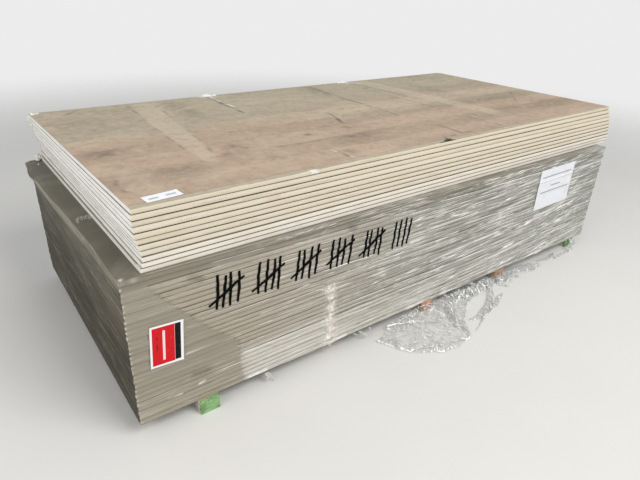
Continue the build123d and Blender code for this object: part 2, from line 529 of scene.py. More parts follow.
def mix(under, over, share):
    """Colours with others laid over them, as far as share says at each point."""
    return under + (np.asarray(over) - under) * share[..., None]


def graded(value, stops, colours):
    """Colours that change along a line, from one stop to the next."""
    return np.stack([np.interp(value, stops, part) for part in zip(*colours)], -1)


# how far each wrapped sheet reaches; the film on the two ends bridges the smaller steps
reach = []
for number in range(1, wrapped_count + 1):
    low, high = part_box(f"lower_sheet_{number:02d}")
    reach.append((low.x, high.x, low.y, high.y, low.z))
reach = np.array(reach)
padded = np.concatenate([reach[:1], reach, reach[-1:]])
for column, outermost in ((0, np.minimum), (1, np.maximum)):
    neighbours = outermost(padded[:-2, column], padded[2:, column])
    reach[:, column] = outermost(reach[:, column], (reach[:, column] + 2 * neighbours) / 3)
pack_low, pack_high = reach[0, 4], reach[-1, 4] + sheet_thickness

# how high each row of the film lies, and how deep it dips into the joint there
wall_height, wall_reach, wall_joint = [], [], []
for index, (*here, low) in enumerate(reach):
    below = reach[max(index - 1, 0), :4]
    faces_meet = index % 2 == 1
    for share in (0.0, 0.12, 0.5, 0.88):
        blend = 0.5 + 0.5 * min(share / 0.12, 1)
        wall_height.append(low + share * sheet_thickness)
        wall_reach.append(np.array(here) * blend + below * (1 - blend))
        wall_joint.append((1.0 if faces_meet else 0.55) if share == 0 and index > 0 else 0.0)
wall_height = np.array([*wall_height, pack_high])
wall_reach = np.array([*wall_reach, reach[-1, :4]])
wall_joint = np.array([*wall_joint, 0.0])


def spread(length, count, dense=()):
    """Places along one side of the film, closer together at the corners."""
    near = np.array([0.0, 0.0025, 0.006, 0.012, 0.02])
    middle = np.sort(np.concatenate([np.linspace(0.03, length - 0.03, count), dense]))
    return np.concatenate([near, middle, length - near[:0:-1]])


side_spread = [
    spread(sheet_length, 306, np.linspace(0.6975, 0.7775, 21)),
    spread(sheet_width, 70),
    spread(sheet_length, 96),
    spread(sheet_width, 104),
]
side_of = np.repeat(range(4), [len(places) for places in side_spread])
run_of = np.concatenate(side_spread)
side_length = np.array([sheet_length, sheet_width, sheet_length, sheet_width])[side_of]


def gather_line(down):
    """Where the gathered strand of film runs down the front, as a distance from the left."""
    middle = np.interp(down, (0.26, 0.30, 0.50), (0.730, 0.738, 0.742))
    return middle + 0.004 * waves(15, down, 0.0, 0.05, 1.0)


def gather_width(down):
    return np.interp(down, (0.245, 0.262, 0.30, 0.42, 0.50), (0.044, 0.034, 0.021, 0.026, 0.034))


def pull_rise(front, run):
    """How far the film's pull rises along the front, from its middle to the right."""
    return np.where(front, 0.05 * np.maximum(run - 1.0, 0) ** 2, 0.0)


def film_stand(side, run, height, joint):
    """How far the film stands off the sheets: joints, creases and the gathered strand."""
    down = pack_high - height
    front, left = side == front_side, side == left_side
    busy = np.where(front, 0.15 + 0.85 * ramp(run, 0.55, 1.9), 0.75)
    busy = np.where(left, 0.10, busy)
    rise = pull_rise(front, run)
    along = waves(11, run + 7 * side, down + rise, 0.24, 0.015)
    fine = waves(12, run + 7 * side, down + 1.6 * rise, 0.10, 0.009)
    cross = waves(13, run + down * 0.3, down - run * 0.16, 0.13, 0.022)
    low_right = np.where(front, ramp(run, 1.5, 2.2) * ramp(down, 0.12, 0.40), 0.3 * (side == right_side))
    stand = busy * (np.maximum(along, 0) * 0.0022 + np.maximum(fine, 0) * 0.0009)
    stand = stand + low_right * np.maximum(cross, 0) * 0.0026
    stand = stand - joint * np.where(left, 0.00015, 0.0012 - 0.0003 * busy)
    label = patch(run, down, (0.118, 0.25), (0.075, 0.10)) + patch(run, down, (2.155, 0.137), (0.19, 0.14))
    stand = stand * (1 - np.where(front, np.clip(label * 1.6, 0, 1), 0))
    across = (run - gather_line(down)) / gather_width(down)
    strand = bell(across) * ramp(down, 0.245, 0.262)
    knots = 0.55 + 0.45 * waves(14, run + 0.3 * down, down, 0.012, 0.019)
    return stand + np.where(front, strand * knots * 0.0075, 0)


def front_film(x, z):
    """The y of the film on the front face, for what is stuck or written on it."""
    run, height = np.asarray(x) + half_length, np.asarray(z)
    flat = np.interp(height, wall_height, wall_reach[:, 2])
    return flat - film_gap - film_stand(front_side, run, height, 0.0)


# the four walls
rows, columns = len(wall_height), len(run_of)
side, run = np.broadcast_to(side_of, (rows, columns)), np.broadcast_to(run_of, (rows, columns))
height = np.repeat(wall_height[:, None], columns, 1)
corner = np.minimum(run, side_length - run)
share = run / side_length
on_side = [side == front_side, side == right_side, side == back_side]
at_front = np.select(on_side, [1.0, 1 - share, 0.0], share)
tooth = wall_joint[:, None] * bell(corner / 0.010) * 0.0022 * ramp(at_front, 0.5, 0.9)
stand = film_gap + film_stand(side, run, height, wall_joint[:, None]) * ramp(corner, 0.0, 0.03)
stand = stand - tooth - 0.0012 * bell(corner / 0.0022)
left_x, right_x, front_y, back_y = [wall_reach[:, k, None] for k in range(4)]
x_run = left_x - film_gap + (right_x - left_x + 2 * film_gap) * share
y_run = front_y - film_gap + (back_y - front_y + 2 * film_gap) * share
x_back = left_x + right_x - x_run
y_back = front_y + back_y - y_run
wall_x = np.select(on_side, [x_run, right_x + stand, x_back], left_x - stand)
wall_y = np.select(on_side, [front_y - stand, y_run, back_y + stand], y_back)
at_corner = corner < 0.0001
inward = 0.0010 + tooth - film_gap
corner_x = np.select(on_side, [left_x + inward, right_x - inward, right_x - inward], left_x + inward)
corner_y = np.select(on_side, [front_y + inward, front_y + inward, back_y - inward], back_y - inward)
wall_x, wall_y = np.where(at_corner, corner_x, wall_x), np.where(at_corner, corner_y, wall_y)
walls = spots(wall_x, wall_y, height)

# the ragged lower edge, turned under, and the top, drawn in towards the middle
hang = np.maximum(waves(21, run_of + 5 * side_of, 0.0, 0.05, 1.0), 0) * 0.004
hang = hang * np.where(side_of == left_side, 0.2, 1)
walls[0, :, 2] -= hang + 0.0003
under = []
for inset in (turned_under, 0.03, 0.004):
    ring = walls[0].copy()
    ring[:, 0] = np.clip(ring[:, 0], left_x[0, 0] + inset, right_x[0, 0] - inset)
    ring[:, 1] = np.clip(ring[:, 1], front_y[0, 0] + inset, back_y[0, 0] - inset)
    ring[:, 2] = pack_low - 0.0004 - 0.4 * hang * (inset < 0.01)
    under.append(ring)
over = []
top_low = np.array((left_x[-1, 0], front_y[-1, 0]))
top_size = np.array((right_x[-1, 0], back_y[-1, 0])) - top_low
over_insets = (0.0008, 0.004, 0.009, 0.016, 0.024, 0.033, 0.044, 0.056, 0.07, 0.09, 0.12, 0.25, 0.42, 0.5995)
for inset in over_insets:
    ring = walls[-1].copy()
    ring[:, :2] = top_low + inset + (top_size - 2 * inset) * (ring[:, :2] - top_low) / top_size
    crease = np.maximum(waves(22, ring[:, 0], ring[:, 1], 0.012, 0.10), 0) * 0.0009
    crease = crease * (ring[:, 0] < -1.24)
    ring[:, 2] = pack_high + 0.0007 - 0.0003 * (inset < 0.001) + crease
    over.append(ring)
film_points = np.concatenate([np.array(under), walls, np.array(over)])
film_rows = len(film_points)
film_side = np.broadcast_to(side_of, (film_rows, columns))
film_run = np.broadcast_to(run_of, (film_rows, columns))
film_down = pack_high - film_points[:, :, 2]
on_top = (np.arange(film_rows) >= len(under) + rows)[:, None] & (film_run > -1)

# the slack shoulder at the left end, where the film hangs out over the sheets
y = film_points[..., 1]
slack = np.interp(y, (-0.6, -0.3, -0.1, 0.1, 0.35, 0.5, 0.6), (0, 0, 0.009, 0.018, 0.030, 0.034, 0.024))
fade = np.interp(y, (-0.6, 0.5), (0.02, 0.055))
inset_of = np.concatenate([np.zeros(len(under) + rows), over_insets])[:, None]
bulge = slack * bell(film_down / fade) * ramp(inset_of, 0.05, 0.0)
bulge = bulge * (0.85 + 0.15 * waves(24, y, film_down, 0.11, 0.06))
at_left = (film_side == left_side) & (film_down < 0.4)
film_points[..., 0] -= np.where(at_left, bulge, 0)
outside = ramp(film_points[..., 0], left_x.min() - 0.006, left_x.min() - 0.022)
droop = 0.4 * slack * bell(film_down / 0.02) * outside
film_points[..., 2] -= np.where(at_left, droop, 0)

# how the film looks: its own colour, with painted light and shade laid in, and how much it hides
front, left = (film_side == front_side) & ~on_top, (film_side == left_side) & ~on_top
s, t = film_run, film_down  # along the side, and down from the top
clouds = waves(31, s + 3 * film_side, t, 0.16, 0.05) * 0.6 + waves(32, s, t, 0.05, 0.02) * 0.4
front_look = (
    (0, (166, 158, 143), 0.50),
    (0.22, (168, 160, 145), 0.50),
    (0.58, (185, 179, 167), 0.56),
    (1.0, (170, 170, 162), 0.58),
    (1.55, (172, 174, 169), 0.61),
    (2.05, (172, 175, 171), 0.65),
    (2.6, (167, 171, 168), 0.68),
)
front_stops, front_colours, front_cover = zip(*front_look)
look, cover = graded(s, front_stops, front_colours), np.interp(s, front_stops, front_cover)
low_edge = ramp(t, 0.36, 0.42) * np.interp(s, (0.3, 0.4, 1.1, 1.9), (0.2, 1.0, 0.8, 0.25))
look = mix(look, (226, 226, 219), low_edge)
double_edge = np.interp(t, (0.0, 0.053, 0.133, 0.256, 0.341, 0.6), (0.06, 0.083, 0.150, 0.258, 0.352, 0.362))
double_edge = double_edge + 0.002 * waves(36, t, 0.0, 0.04, 1.0)
double = ramp(double_edge - s, -0.002, 0.002)
double_colours = ((156, 150, 135), (154, 148, 133), (150, 143, 128), (166, 158, 142))
look = mix(look, graded(t, (0.0, 0.12, 0.30, 0.522), double_colours), double)
cut_edge = bell((s - double_edge - 0.003) / 0.003) * ramp(t, 0.03, 0.08)
look = look * (1 - 0.16 * cut_edge[..., None])
cover = cover + (0.88 - cover) * double
top_double = ramp(t, 0.044, 0.022) * ramp(s, 2.35, 1.9)
look = mix(look, (132, 126, 113), 0.75 * top_double)
cover = cover + (0.80 - cover) * top_double
# The left end: dusty double film, painted darker for the shade it lies in, and darker towards the bottom.
left_colours = ((100, 96, 84), (87, 83, 71), (69, 65, 54), (71, 67, 56))
left_dusty_shaded_look = graded(t, (0, 0.12, 0.3, 0.522), left_colours)
# Its shoulder, where it bulges out, is painted lighter as a highlight.
foot = np.interp(y, (-0.57, -0.3, -0.09, 0.03, 0.2, 0.5), (0.034, 0.040, 0.052, 0.062, 0.078, 0.092))
shoulder = ramp(t, foot + 0.008, foot - 0.012)
shoulder_highlight = graded(y, (-0.3, 0.3), ((140, 136, 122), (160, 155, 140)))
left_dusty_shaded_look = mix(left_dusty_shaded_look, shoulder_highlight, 0.8 * shoulder)
left_dusty_shaded_look = left_dusty_shaded_look * (1 + 0.14 * clouds[..., None])
# Painted highlights along the sheets' top edges and painted shade at the joints, strongest at the top front.
level = (t / sheet_thickness) % 1
lip_highlights_joint_shade = bell((level - 0.88) / 0.1) - 0.6 * ramp(np.abs(level - 0.5), 0.44, 0.49)
high_front = ramp(t, 0.19, 0.05) * ramp(y, 0.3, -0.4)
lip_highlights_joint_shade = lip_highlights_joint_shade * (0.10 + high_front * (0.7 + 0.3 * waves(35, y, t, 0.2, 0.03)))
left_dusty_shaded_look = left_dusty_shaded_look + 30 * lip_highlights_joint_shade[..., None]
look = np.where(front[..., None], look, (170, 167, 156))
look = np.where(left[..., None], left_dusty_shaded_look, look)
cover = np.where(front, cover + 0.04 * clouds, 0.55)
cover = np.where(left, 0.96, cover)
top_look = np.array((107, 103, 89)) + 8 * clouds[..., None]
x = film_points[..., 0]
front_ledge = np.maximum(ramp(y, -0.50, -0.57) * ramp(x, -1.27, -1.20), ramp(x, 1.23, 1.27))
ledge_colours = ((152, 147, 133), (148, 144, 132), (140, 137, 128), (170, 170, 163))
ledge_look = graded(x, (-1.3, 0.6, 1.0, 1.3), ledge_colours) + 12 * clouds[..., None]
top_look = mix(top_look, ledge_look, front_ledge)
look = np.where(on_top[..., None], top_look, look)
cover = np.where(on_top, 0.90, cover)

# white creases, milky and with painted glints on them, as start, end, width and strength; distances are from
# the top left corner
white_creases_and_glints = (
    ((0.72, 0.233), (1.08, 0.235), 0.006, 0.7),
    ((0.97, 0.248), (1.42, 0.245), 0.007, 0.9),
    ((1.10, 0.285), (1.25, 0.283), 0.009, 0.9),
    ((1.07, 0.375), (1.48, 0.366), 0.007, 0.9),
    ((1.28, 0.314), (1.75, 0.290), 0.009, 1.0),
    ((1.30, 0.222), (1.43, 0.213), 0.013, 1.0),
    ((1.14, 0.184), (1.19, 0.186), 0.012, 0.8),
    ((0.95, 0.280), (1.01, 0.296), 0.016, 0.7),
    ((1.05, 0.160), (1.55, 0.144), 0.008, 0.8),
    ((1.97, 0.300), (2.30, 0.254), 0.012, 0.9),
    ((1.45, 0.370), (1.95, 0.340), 0.010, 0.7),
    ((1.70, 0.180), (1.99, 0.160), 0.009, 0.7),
    ((1.60, 0.105), (1.98, 0.070), 0.010, 0.7),
    ((2.32, 0.085), (2.60, 0.070), 0.012, 0.7),
    ((2.10, 0.420), (2.45, 0.330), 0.014, 0.6),
    ((1.55, 0.440), (2.00, 0.400), 0.010, 0.7),
    ((0.37, 0.398), (0.66, 0.400), 0.006, 0.6),
    ((0.095, 0.462), (0.14, 0.466), 0.005, 1.0),
    ((0.200, 0.452), (0.225, 0.450), 0.004, 0.9),
    ((0.17, 0.315), (0.36, 0.322), 0.005, 0.5),
    ((0.44, 0.268), (0.57, 0.262), 0.005, 0.6),
)
white_and_glints = strongest(stroke, s, t, white_creases_and_glints)

# the lower edge is white where the film was torn off, here from start to end
for start, end in ((0.37, 0.47), (0.76, 0.84), (1.15, 1.283), (1.367, 1.433), (1.717, 1.80), (2.05, 2.2)):
    torn = (ramp(s, start, start + 0.02) - ramp(s, end - 0.02, end)) * ramp(t, 0.498, 0.511)
    white_and_glints = np.maximum(white_and_glints, torn * (0.75 + 0.25 * waves(33, s, t, 0.02, 0.01)))
white_and_glints = white_and_glints * front

# painted glints down the two front corners, and two painted highlights where the film is crumpled by the top
# of the left one
sheet_middle = np.abs(level - 0.5) * 2
end_of_front = np.minimum(s, sheet_length - s)
glint = bell(end_of_front / 0.004) * front * (0.35 + 0.4 * ramp(s, 1.5, 2.0) + 0.35 * ramp(t, 0.16, 0.06))
glint = glint + bell(np.minimum(s, sheet_width - s) / 0.006) * left * ramp(s, 0.5, 0.7)
glint = glint * ramp(sheet_middle, 0.8, 0.2) * np.clip(0.6 + 1.3 * waves(34, s, t, 1.0, 0.027), 0, 1.2)
white_and_glints = np.maximum(white_and_glints, glint)
tick_highlights = patch(x, y, (-1.294, -0.592), (0.005, 0.007)) + 0.4 * patch(x, y, (-1.262, -0.600), (0.010, 0.003))
white_and_glints = np.maximum(white_and_glints, np.clip(tick_highlights, 0, 1) * (t < 0.012) * 0.9)

# brown smears, as start, end, width and strength, and then all that is white or glinting over them
brown_smears = (
    ((0.205, 0.050), (0.235, 0.062), 0.022, 1.0),
    ((0.81, 0.038), (0.835, 0.044), 0.020, 1.0),
    ((0.19, 0.405), (0.24, 0.410), 0.020, 0.5),
)
look = look * (1 - 0.35 * (strongest(stroke, s, t, brown_smears) * front)[..., None])
look = mix(look, crease_and_glint_white, white_and_glints)
cover = np.clip(cover + (0.93 - cover) * white_and_glints, 0, 1)

# how streaky, crumpled and roped the film is, where it lies along the sheets' joints, and how strongly the
# painted shade and highlights at the joints show
streaky = np.where(front, np.interp(s, (0.0, 0.4, 0.55, 1.0, 1.8), (0.18, 0.26, 0.44, 0.72, 1.0)), 0.7)
in_double = double * front > 0.5
streaky = np.where(left, 0.12, streaky) * np.where(in_double, 0.45 + 0.45 * ramp(t, 0.33, 0.47), 1.0)
streaky = np.where(on_top, 0.05 + 0.7 * front_ledge * ramp(s, 0.2, 1.2), streaky)
rumples = (
    ((0.640, 0.004), (0.060, 0.012), 0.7),
    ((0.690, 0.026), (0.035, 0.010), 0.5),
    ((0.638, 0.055), (0.018, 0.022), 0.5),
    ((0.740, 0.190), (0.030, 0.006), 0.6),
    ((0.735, 0.480), (0.050, 0.022), 0.5),
    ((1.450, 0.445), (0.090, 0.030), 0.4),
    ((1.880, 0.395), (0.120, 0.040), 0.4),
)
crumpled = np.where(front, 0.28 * ramp(s, 1.5, 2.3) * ramp(t, 0.08, 0.36), 0.35 * (film_side == right_side))
crumpled = np.maximum(crumpled, 0.9 * strongest(patch, s, t, rumples) * front)
strand = bell((s - gather_line(t)) / gather_width(t)) * ramp(t, 0.240, 0.256)
strand = np.maximum(strand, stroke(s, t, (0.700, 0.258), (0.742, 0.262), 0.020)) * front
beyond_edge = np.where(on_top & (film_side == front_side), y + 0.6, 0)
flow = spots(s + 5.0 * film_side, t + pull_rise(front, s) - beyond_edge, np.where(on_top, x, 0))
jointed = np.where(front, 1.0, np.where(left, 0.62 * ramp(t, 0.20, 0.05) * ramp(y, 0.2, -0.5) + 0.08, 0.8))
jointed = np.where(in_double, 0.16 + 0.6 * ramp(t, 0.33, 0.47), jointed) * ~on_top
jointed = jointed * (1 - np.clip(strand * 1.4, 0, 1))
course = spots(s + 5.0 * film_side, (pack_high - film_points[..., 2]) / sheet_thickness, jointed)


def film_finish(name, shine):
    """Clear film, dusty and creased: it hides more and turns white along its creases, where glints are
    painted, and painted shade runs along the joints.
    """
    material, place = finish(name)
    look, cover = place.mark("look", "Color"), place.mark("look", "Alpha")
    flow = place.mark("flow", "Vector")
    streaky, crumpled, roped = place.mark("wrinkled", "Vector").parts()
    along, level, jointed = place.mark("course", "Vector").parts()
    row = (level + 0.5).math("FLOOR")
    off = level - row
    backs_meet = abs(row.math("WRAP", 1.0, -1.0))
    on_row = (along * 2.3).join(row * 5.31).noise(1.0, 3, 0.6)
    # Painted shade along the sheets' joints, and a painted highlight on the lip just below each one.
    joint = (abs(off) + backs_meet * 0.050).rise(0.130, 0.065)
    joint = joint * jointed * on_row.rise(0.18, 0.55)
    lip_run = (along * 4.1).join(row * 7.13, 3.0).noise(1.0, 4, 0.6)
    lip = off.rise(0.05, 0.12) * off.rise(0.33, 0.19) * (lip_run + streaky * 0.10).rise(0.56, 0.66)
    lip = lip * jointed.rise(0.2, 0.6)

    def pulled(size, width, patches, amount):
        """Thin lines that run with the film's pull, in patches."""
        thin = abs(flow.stretch(*size, 1).noise(1.0, 2) - 0.5).rise(*width)
        return thin * flow.stretch(*patches, 1).noise(1.0, 2).rise(*amount)

    threads = pulled((1.7, 66), (0.026, 0.004), (1.7, 14), (0.42, 0.56))
    hairs = pulled((4.6, 150), (0.030, 0.006), (3.1, 22), (0.47, 0.62))
    slits = pulled((3.4, 92), (0.034, 0.006), (2.3, 17), (0.40, 0.53))
    bands = flow.stretch(2.0, 78, 1).noise(1.0, 3, 0.55)
    cross = flow.node("ShaderNodeVectorRotate", {"rotation_type": "Z_AXIS"}, {0: flow, 3: 0.14})
    facets = cross.stretch(11, 60, 1).noise(1.0, 3, 0.6)
    ridges = abs(facets - 0.5).rise(0.05, 0.01)
    rope = abs(flow.stretch(46, 26, 1).noise(1.0, 3, 0.5) - 0.5)
    dust = place.noise(70, 5, 0.7)
    # White streaks: milky creases with painted glints on them. Dark ones: painted shade in the wrinkles and
    # at the roped strand's edges.
    streak_and_glint = (threads * 1.1 + hairs * 0.85 + bands.rise(0.60, 0.72) * 0.45) * streaky
    streak_and_glint = streak_and_glint + lip * (streaky * 0.55 + 0.30)
    streak_and_glint = streak_and_glint + (ridges * 0.65 + facets.rise(0.56, 0.70) * 0.35) * crumpled
    streak_and_glint = streak_and_glint + rope.rise(0.035, 0.008) * roped * 0.8
    fold_shade = (bands.rise(0.48, 0.38) * 0.75 + slits) * streaky + facets.rise(0.44, 0.34) * crumpled * 0.45
    fold_shade = fold_shade + rope.rise(0.10, 0.20) * roped * 0.45
    streak_and_glint, fold_shade = streak_and_glint.math("MINIMUM", 1.0), fold_shade.math("MINIMUM", 1.0)
    colour = look.under(
        (roped * 0.9, (214, 206, 193)),
        (fold_shade * 0.66, (88, 84, 74)),
        (joint * 0.90, (90, 82, 68)),
        (streak_and_glint * 0.90, crease_and_glint_white),
        (dust.rise(0.55, 0.8) * 0.25, (140, 130, 112)),
    )
    most = streak_and_glint.math("MAXIMUM", roped * 0.9).math("MAXIMUM", joint * 0.75)
    relief = threads * streaky * 0.6 + bands * streaky + facets * crumpled + lip * 0.3
    relief = relief + rope * roped * 1.2 + dust * 0.05
    place.coat(
        Base_Color=colour,
        Alpha=cover + most * (0.95 - cover) + dust * 0.04,
        Roughness=0.32 + dust * 0.25 - streak_and_glint * 0.08,
        IOR=1.35,
        Specular_IOR_Level=shine,
        Normal=relief.bump(0.0030, 0.8),
    )
    return material


wall_faces = np.arange(film_rows - 1)[:, None] < len(under) + rows - 1
film = make(
    "stretch_film_bag",
    [film_points],
    quilt(film_rows, columns, ring=True),
    # The second finish has almost no sheen; it is for the left end, whose shade is painted in its colour.
    [film_finish("dusty_stretch_film", 0.5), film_finish("dull_dusty_shaded_film", 0.04)],
    (wall_faces & (side_of == left_side)).ravel().astype(int),
    marks={
        "look": np.concatenate([linear(np.clip(look, 0, 255)), cover[..., None]], -1),
        "wrinkled": spots(streaky, crumpled, strand),
        "flow": flow,
        "course": course,
    },
    sharp=75,
)
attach(film, "root")
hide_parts("stretch_film")

# Tally on the film: the count of the wrapped sheets in strokes of a black marker,
# five to a group with the fifth across the other four.
tally_left, tally_down, tally_pitch = -1.025, 0.128, 0.152
stroke_points = 26
ink, place = finish("marker_ink")
thin = place.noise(260, 3).rise(0.58, 0.78)
place.coat(
    Base_Color=thin.tint((4, 4, 5), (20, 19, 20)),
    Roughness=0.8,
    Specular_IOR_Level=0.08,
    Normal=place.noise(500).bump(0.0003, 0.4),
)


def quilts(grids, ring=False):
    """Faces over several grids of points, one grid after another."""
    faces, start = [], 0
    for grid in grids:
        faces += quilt(*grid.shape[:2], ring, start)
        start += grid.size // 3
    return faces


dice = np.random.default_rng(41)
share, strokes = np.linspace(0, 1, stroke_points), []
across = np.array((-1, -0.4, 0.4, 1))[:, None]
for count in range(wrapped_count):
    group, number = divmod(count, 5)
    start = tally_left + group * tally_pitch
    if number < 4:
        foot_x = start + 0.026 * number + dice.uniform(-0.003, 0.003)
        foot = (foot_x, tally_down + dice.uniform(0.052, 0.064))
        head = (foot_x + dice.uniform(0.008, 0.017), tally_down - dice.uniform(0.050, 0.064))
    else:
        foot = (start - 0.022, tally_down + dice.uniform(0.030, 0.044))
        head = (start + 0.104, tally_down - dice.uniform(0.030, 0.042))
    bow = dice.uniform(-0.004, 0.004)
    line_x = head[0] + (foot[0] - head[0]) * share + bow * np.sin(math.pi * share)
    line_z = pack_high - (head[1] + (foot[1] - head[1]) * share)
    turn_x, turn_z = np.gradient(line_x), np.gradient(line_z)
    size = np.hypot(turn_x, turn_z)
    half = 0.0046 * (0.75 + 0.4 * np.sin(math.pi * (0.12 + 0.8 * share)))
    half = half + dice.uniform(-0.0003, 0.0003, stroke_points)
    x = line_x - turn_z / size * half * across
    z = line_z + turn_x / size * half * across
    strokes.append(spots(x, front_film(x, z) - 0.0013 + 0.0001 * np.abs(across), z))
tally = make("marker_tally", strokes, quilts(strokes), [ink])
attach(tally, "root")

# Card label on the film near the left end: stiff white card with a red field, a
# light panel and a black strip, stuck on a little askew, so that its corners lift.
card_width, card_height, card_tilt = 0.105, 0.148, math.radians(4.0)
card_columns, card_rows = 24, 34


def leaf(node, width, height, tilt, columns, rows, axis="z"):
    """A flat leaf: how far across and up each point is, its x, and its place along the axis."""
    low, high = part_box(node)
    middle = (getattr(low, axis) + getattr(high, axis)) / 2
    share_x, share_up = np.meshgrid(np.linspace(0, 1, columns), np.linspace(0, 1, rows))
    flat_x, flat_up = (share_x - 0.5) * width, (share_up - 0.5) * height
    x = (low.x + high.x) / 2 + flat_x * math.cos(tilt) + flat_up * math.sin(tilt)
    return share_x, share_up, x, middle - flat_x * math.sin(tilt) + flat_up * math.cos(tilt)


share_x, share_z, x, z = leaf("card_label", card_width, card_height, card_tilt, card_columns, card_rows)
lift = 0.0012 * (np.abs(2 * share_x - 1) ** 6) * (np.abs(2 * share_z - 1) ** 6)
lift = lift + 0.0006 * waves(51, x, z, 0.05, 0.06)
card_points = spots(x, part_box("card_label")[0].y - 0.0009 - lift, z)
card_back = card_points + (0, 0.0003, 0)
total = card_rows * card_columns
card_faces = quilt(card_rows, card_columns) + quilt(card_rows, card_columns, start=total, flip=True)
grid = np.arange(total).reshape(card_rows, card_columns)
rim = [*grid[0], *grid[1:, -1], *grid[-1, -2::-1], *grid[-2:0:-1, 0]]
card_faces += [[rim[k - 1], rim[k - 1] + total, rim[k] + total, rim[k]] for k in range(len(rim))]
card, place = finish("printed_card")
across, up = place.mark("across"), place.mark("up")


def block(across, up, left, right, bottom, top):
    """1 inside a printed rectangle, with edges as sharp as print."""
    sides = across.rise(left, left + 0.006) * across.rise(right, right - 0.006)
    return sides * up.rise(bottom, bottom + 0.004) * up.rise(top, top - 0.004)


fibre = place.noise(900, 3)
worn = place.noise(120, 4, 0.7).rise(0.62, 0.75)
dashes = block(across, up, 0.190, 0.230, 0.40, 0.56) + block(across, up, 0.190, 0.230, 0.66, 0.74)
colour = fibre.tint((240, 240, 242), (230, 231, 233)).under(
    (block(across, up, 0.060, 0.735, 0.045, 0.955), fibre.tint((212, 26, 36), (198, 20, 30))),
    (block(across, up, 0.735, 0.920, 0.060, 0.955), (14, 12, 15)),
    (block(across, up, 0.370, 0.450, 0.140, 0.860) * 0.9, (234, 226, 224)),
    (dashes * 0.8, (44, 26, 28)),
    (worn * 0.16, (236, 220, 214)),
)
place.coat(
    Base_Color=colour,
    Roughness=0.42 + worn * 0.2,
    Specular_IOR_Level=0.15,
    Normal=fibre.bump(0.0002, 0.4),
)
card_label = make(
    "card_label_printed",
    [card_points, card_back],
    card_faces,
    [card],
    marks={"across": np.tile(share_x.ravel(), 2), "up": np.tile(share_z.ravel(), 2)},
)
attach(card_label, "root")
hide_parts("card_label")

# Paper notice on the film at the right: one leaf, folded once and opened again, that
# ripples with the film. Plain grey bars stand in place of its print.
notice_width, notice_height, notice_tilt = 0.297, 0.210, math.radians(-1.0)
share_x, share_z, x, z = leaf("paper_notice", notice_width, notice_height, notice_tilt, 56, 44)
fold_at = 0.69 + 0.01 * np.sin(3 * share_x)
lift = 0.0014 * np.exp(-((np.abs(share_z - fold_at) / 0.02) ** 1.2))
lift = lift + 0.0011 * waves(61, x, z, 0.09, 0.022) * share_x + 0.0014
notice_points = spots(x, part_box("paper_notice")[0].y - lift, z)
notice, place = finish("notice_paper")
across, up = place.mark("across"), place.mark("up")
fibre = place.noise(700, 4)
smudge = place.noise(26, 4, 0.6).rise(0.45, 0.8)
# The fold: its crease and a second, fainter one are painted darker for their shade, and the side of the fold
# that faces the light is painted lighter.
crease = abs(up - 0.69).rise(0.012, 0.002)
lit_side = abs(up - 0.715).rise(0.016, 0.004)
second = abs(up - 0.37).rise(0.007, 0.002)
bars = block(across, up, 0.08, 0.92, 0.785, 0.820) + block(across, up, 0.36, 0.64, 0.535, 0.570)
bars = bars + block(across, up, 0.08, 0.92, 0.400, 0.435)
broken = place.stretch(1, 1, 0.3).noise(260, 2)
colour = fibre.tint((230, 232, 236), (219, 222, 228)).under(
    (smudge * 0.35, (190, 192, 195)),
    (bars * (broken * 0.6 + 0.40), (104, 106, 118)),
    (lit_side * 0.6, (242, 243, 246)),
    (crease * 0.65 + second * 0.25, (148, 150, 156)),
)
ripples = place.stretch(1, 1, 3).noise(14, 3)
relief = fibre * 0.2 + smudge * 0.5 + ripples * 1.5
place.coat(Base_Color=colour, Roughness=0.5, Normal=relief.bump(0.0010, 0.6))
paper_notice = make(
    "paper_notice_leaf",
    [notice_points],
    quilts([notice_points]),
    [notice],
    marks={"across": share_x, "up": share_z},
)
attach(paper_notice, "root")
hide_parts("paper_notice")

# Sheets of the loose pile, laid by hand on the wrapped pack. They are the same
# boards, bare, so their ivory edges, printed dots, nicks and cut ends all show.
pile_count = 11
pile_face_down = (True, True, False, True, False, True, False, True, True, False, True)
pile_tone = (0.0, 0.1, 0.0, 0.2, 0.0, 0.15, 0.1, 0.3, 0.7, 0.9, 1.0)
# how dark the painted shade is in the gap below each sheet's cut ends
pile_gap_shade = (1.0, 0.6, 0.25, 0.35, 0.2, 0.45, 0.3, 0.35, 0.9, 1.0, 0.5)
for number in range(2, pile_count + 1):
    build_sheet(
        f"pile_sheet_{number:02d}",
        f"upper_sheet_{number:02d}",
        f"upper_sheet_{number - 1:02d}",
        f"upper_sheet_{number + 1:02d}" if number < pile_count else f"lower_sheet_{wrapped_count}",
        seed=500 + 10 * number,
        face_down=pile_face_down[number - 1],
        step=0.02,
        stations=120,
        tone=pile_tone[number - 1],
        gap_shade=pile_gap_shade[number - 1],
    )

# Top sheet: it lies face down, so its brown-grey back shows, with the ivory paper
# folded over along the front. It is stained, dented and marked by what was stood
# and dragged on it, torn in the middle of the front edge, and blunt at two corners.
top_node = "upper_sheet_01"
corner_sizes = ((-1, 0.0095), (1, 0.015))
torn_white = (238, 236, 229)

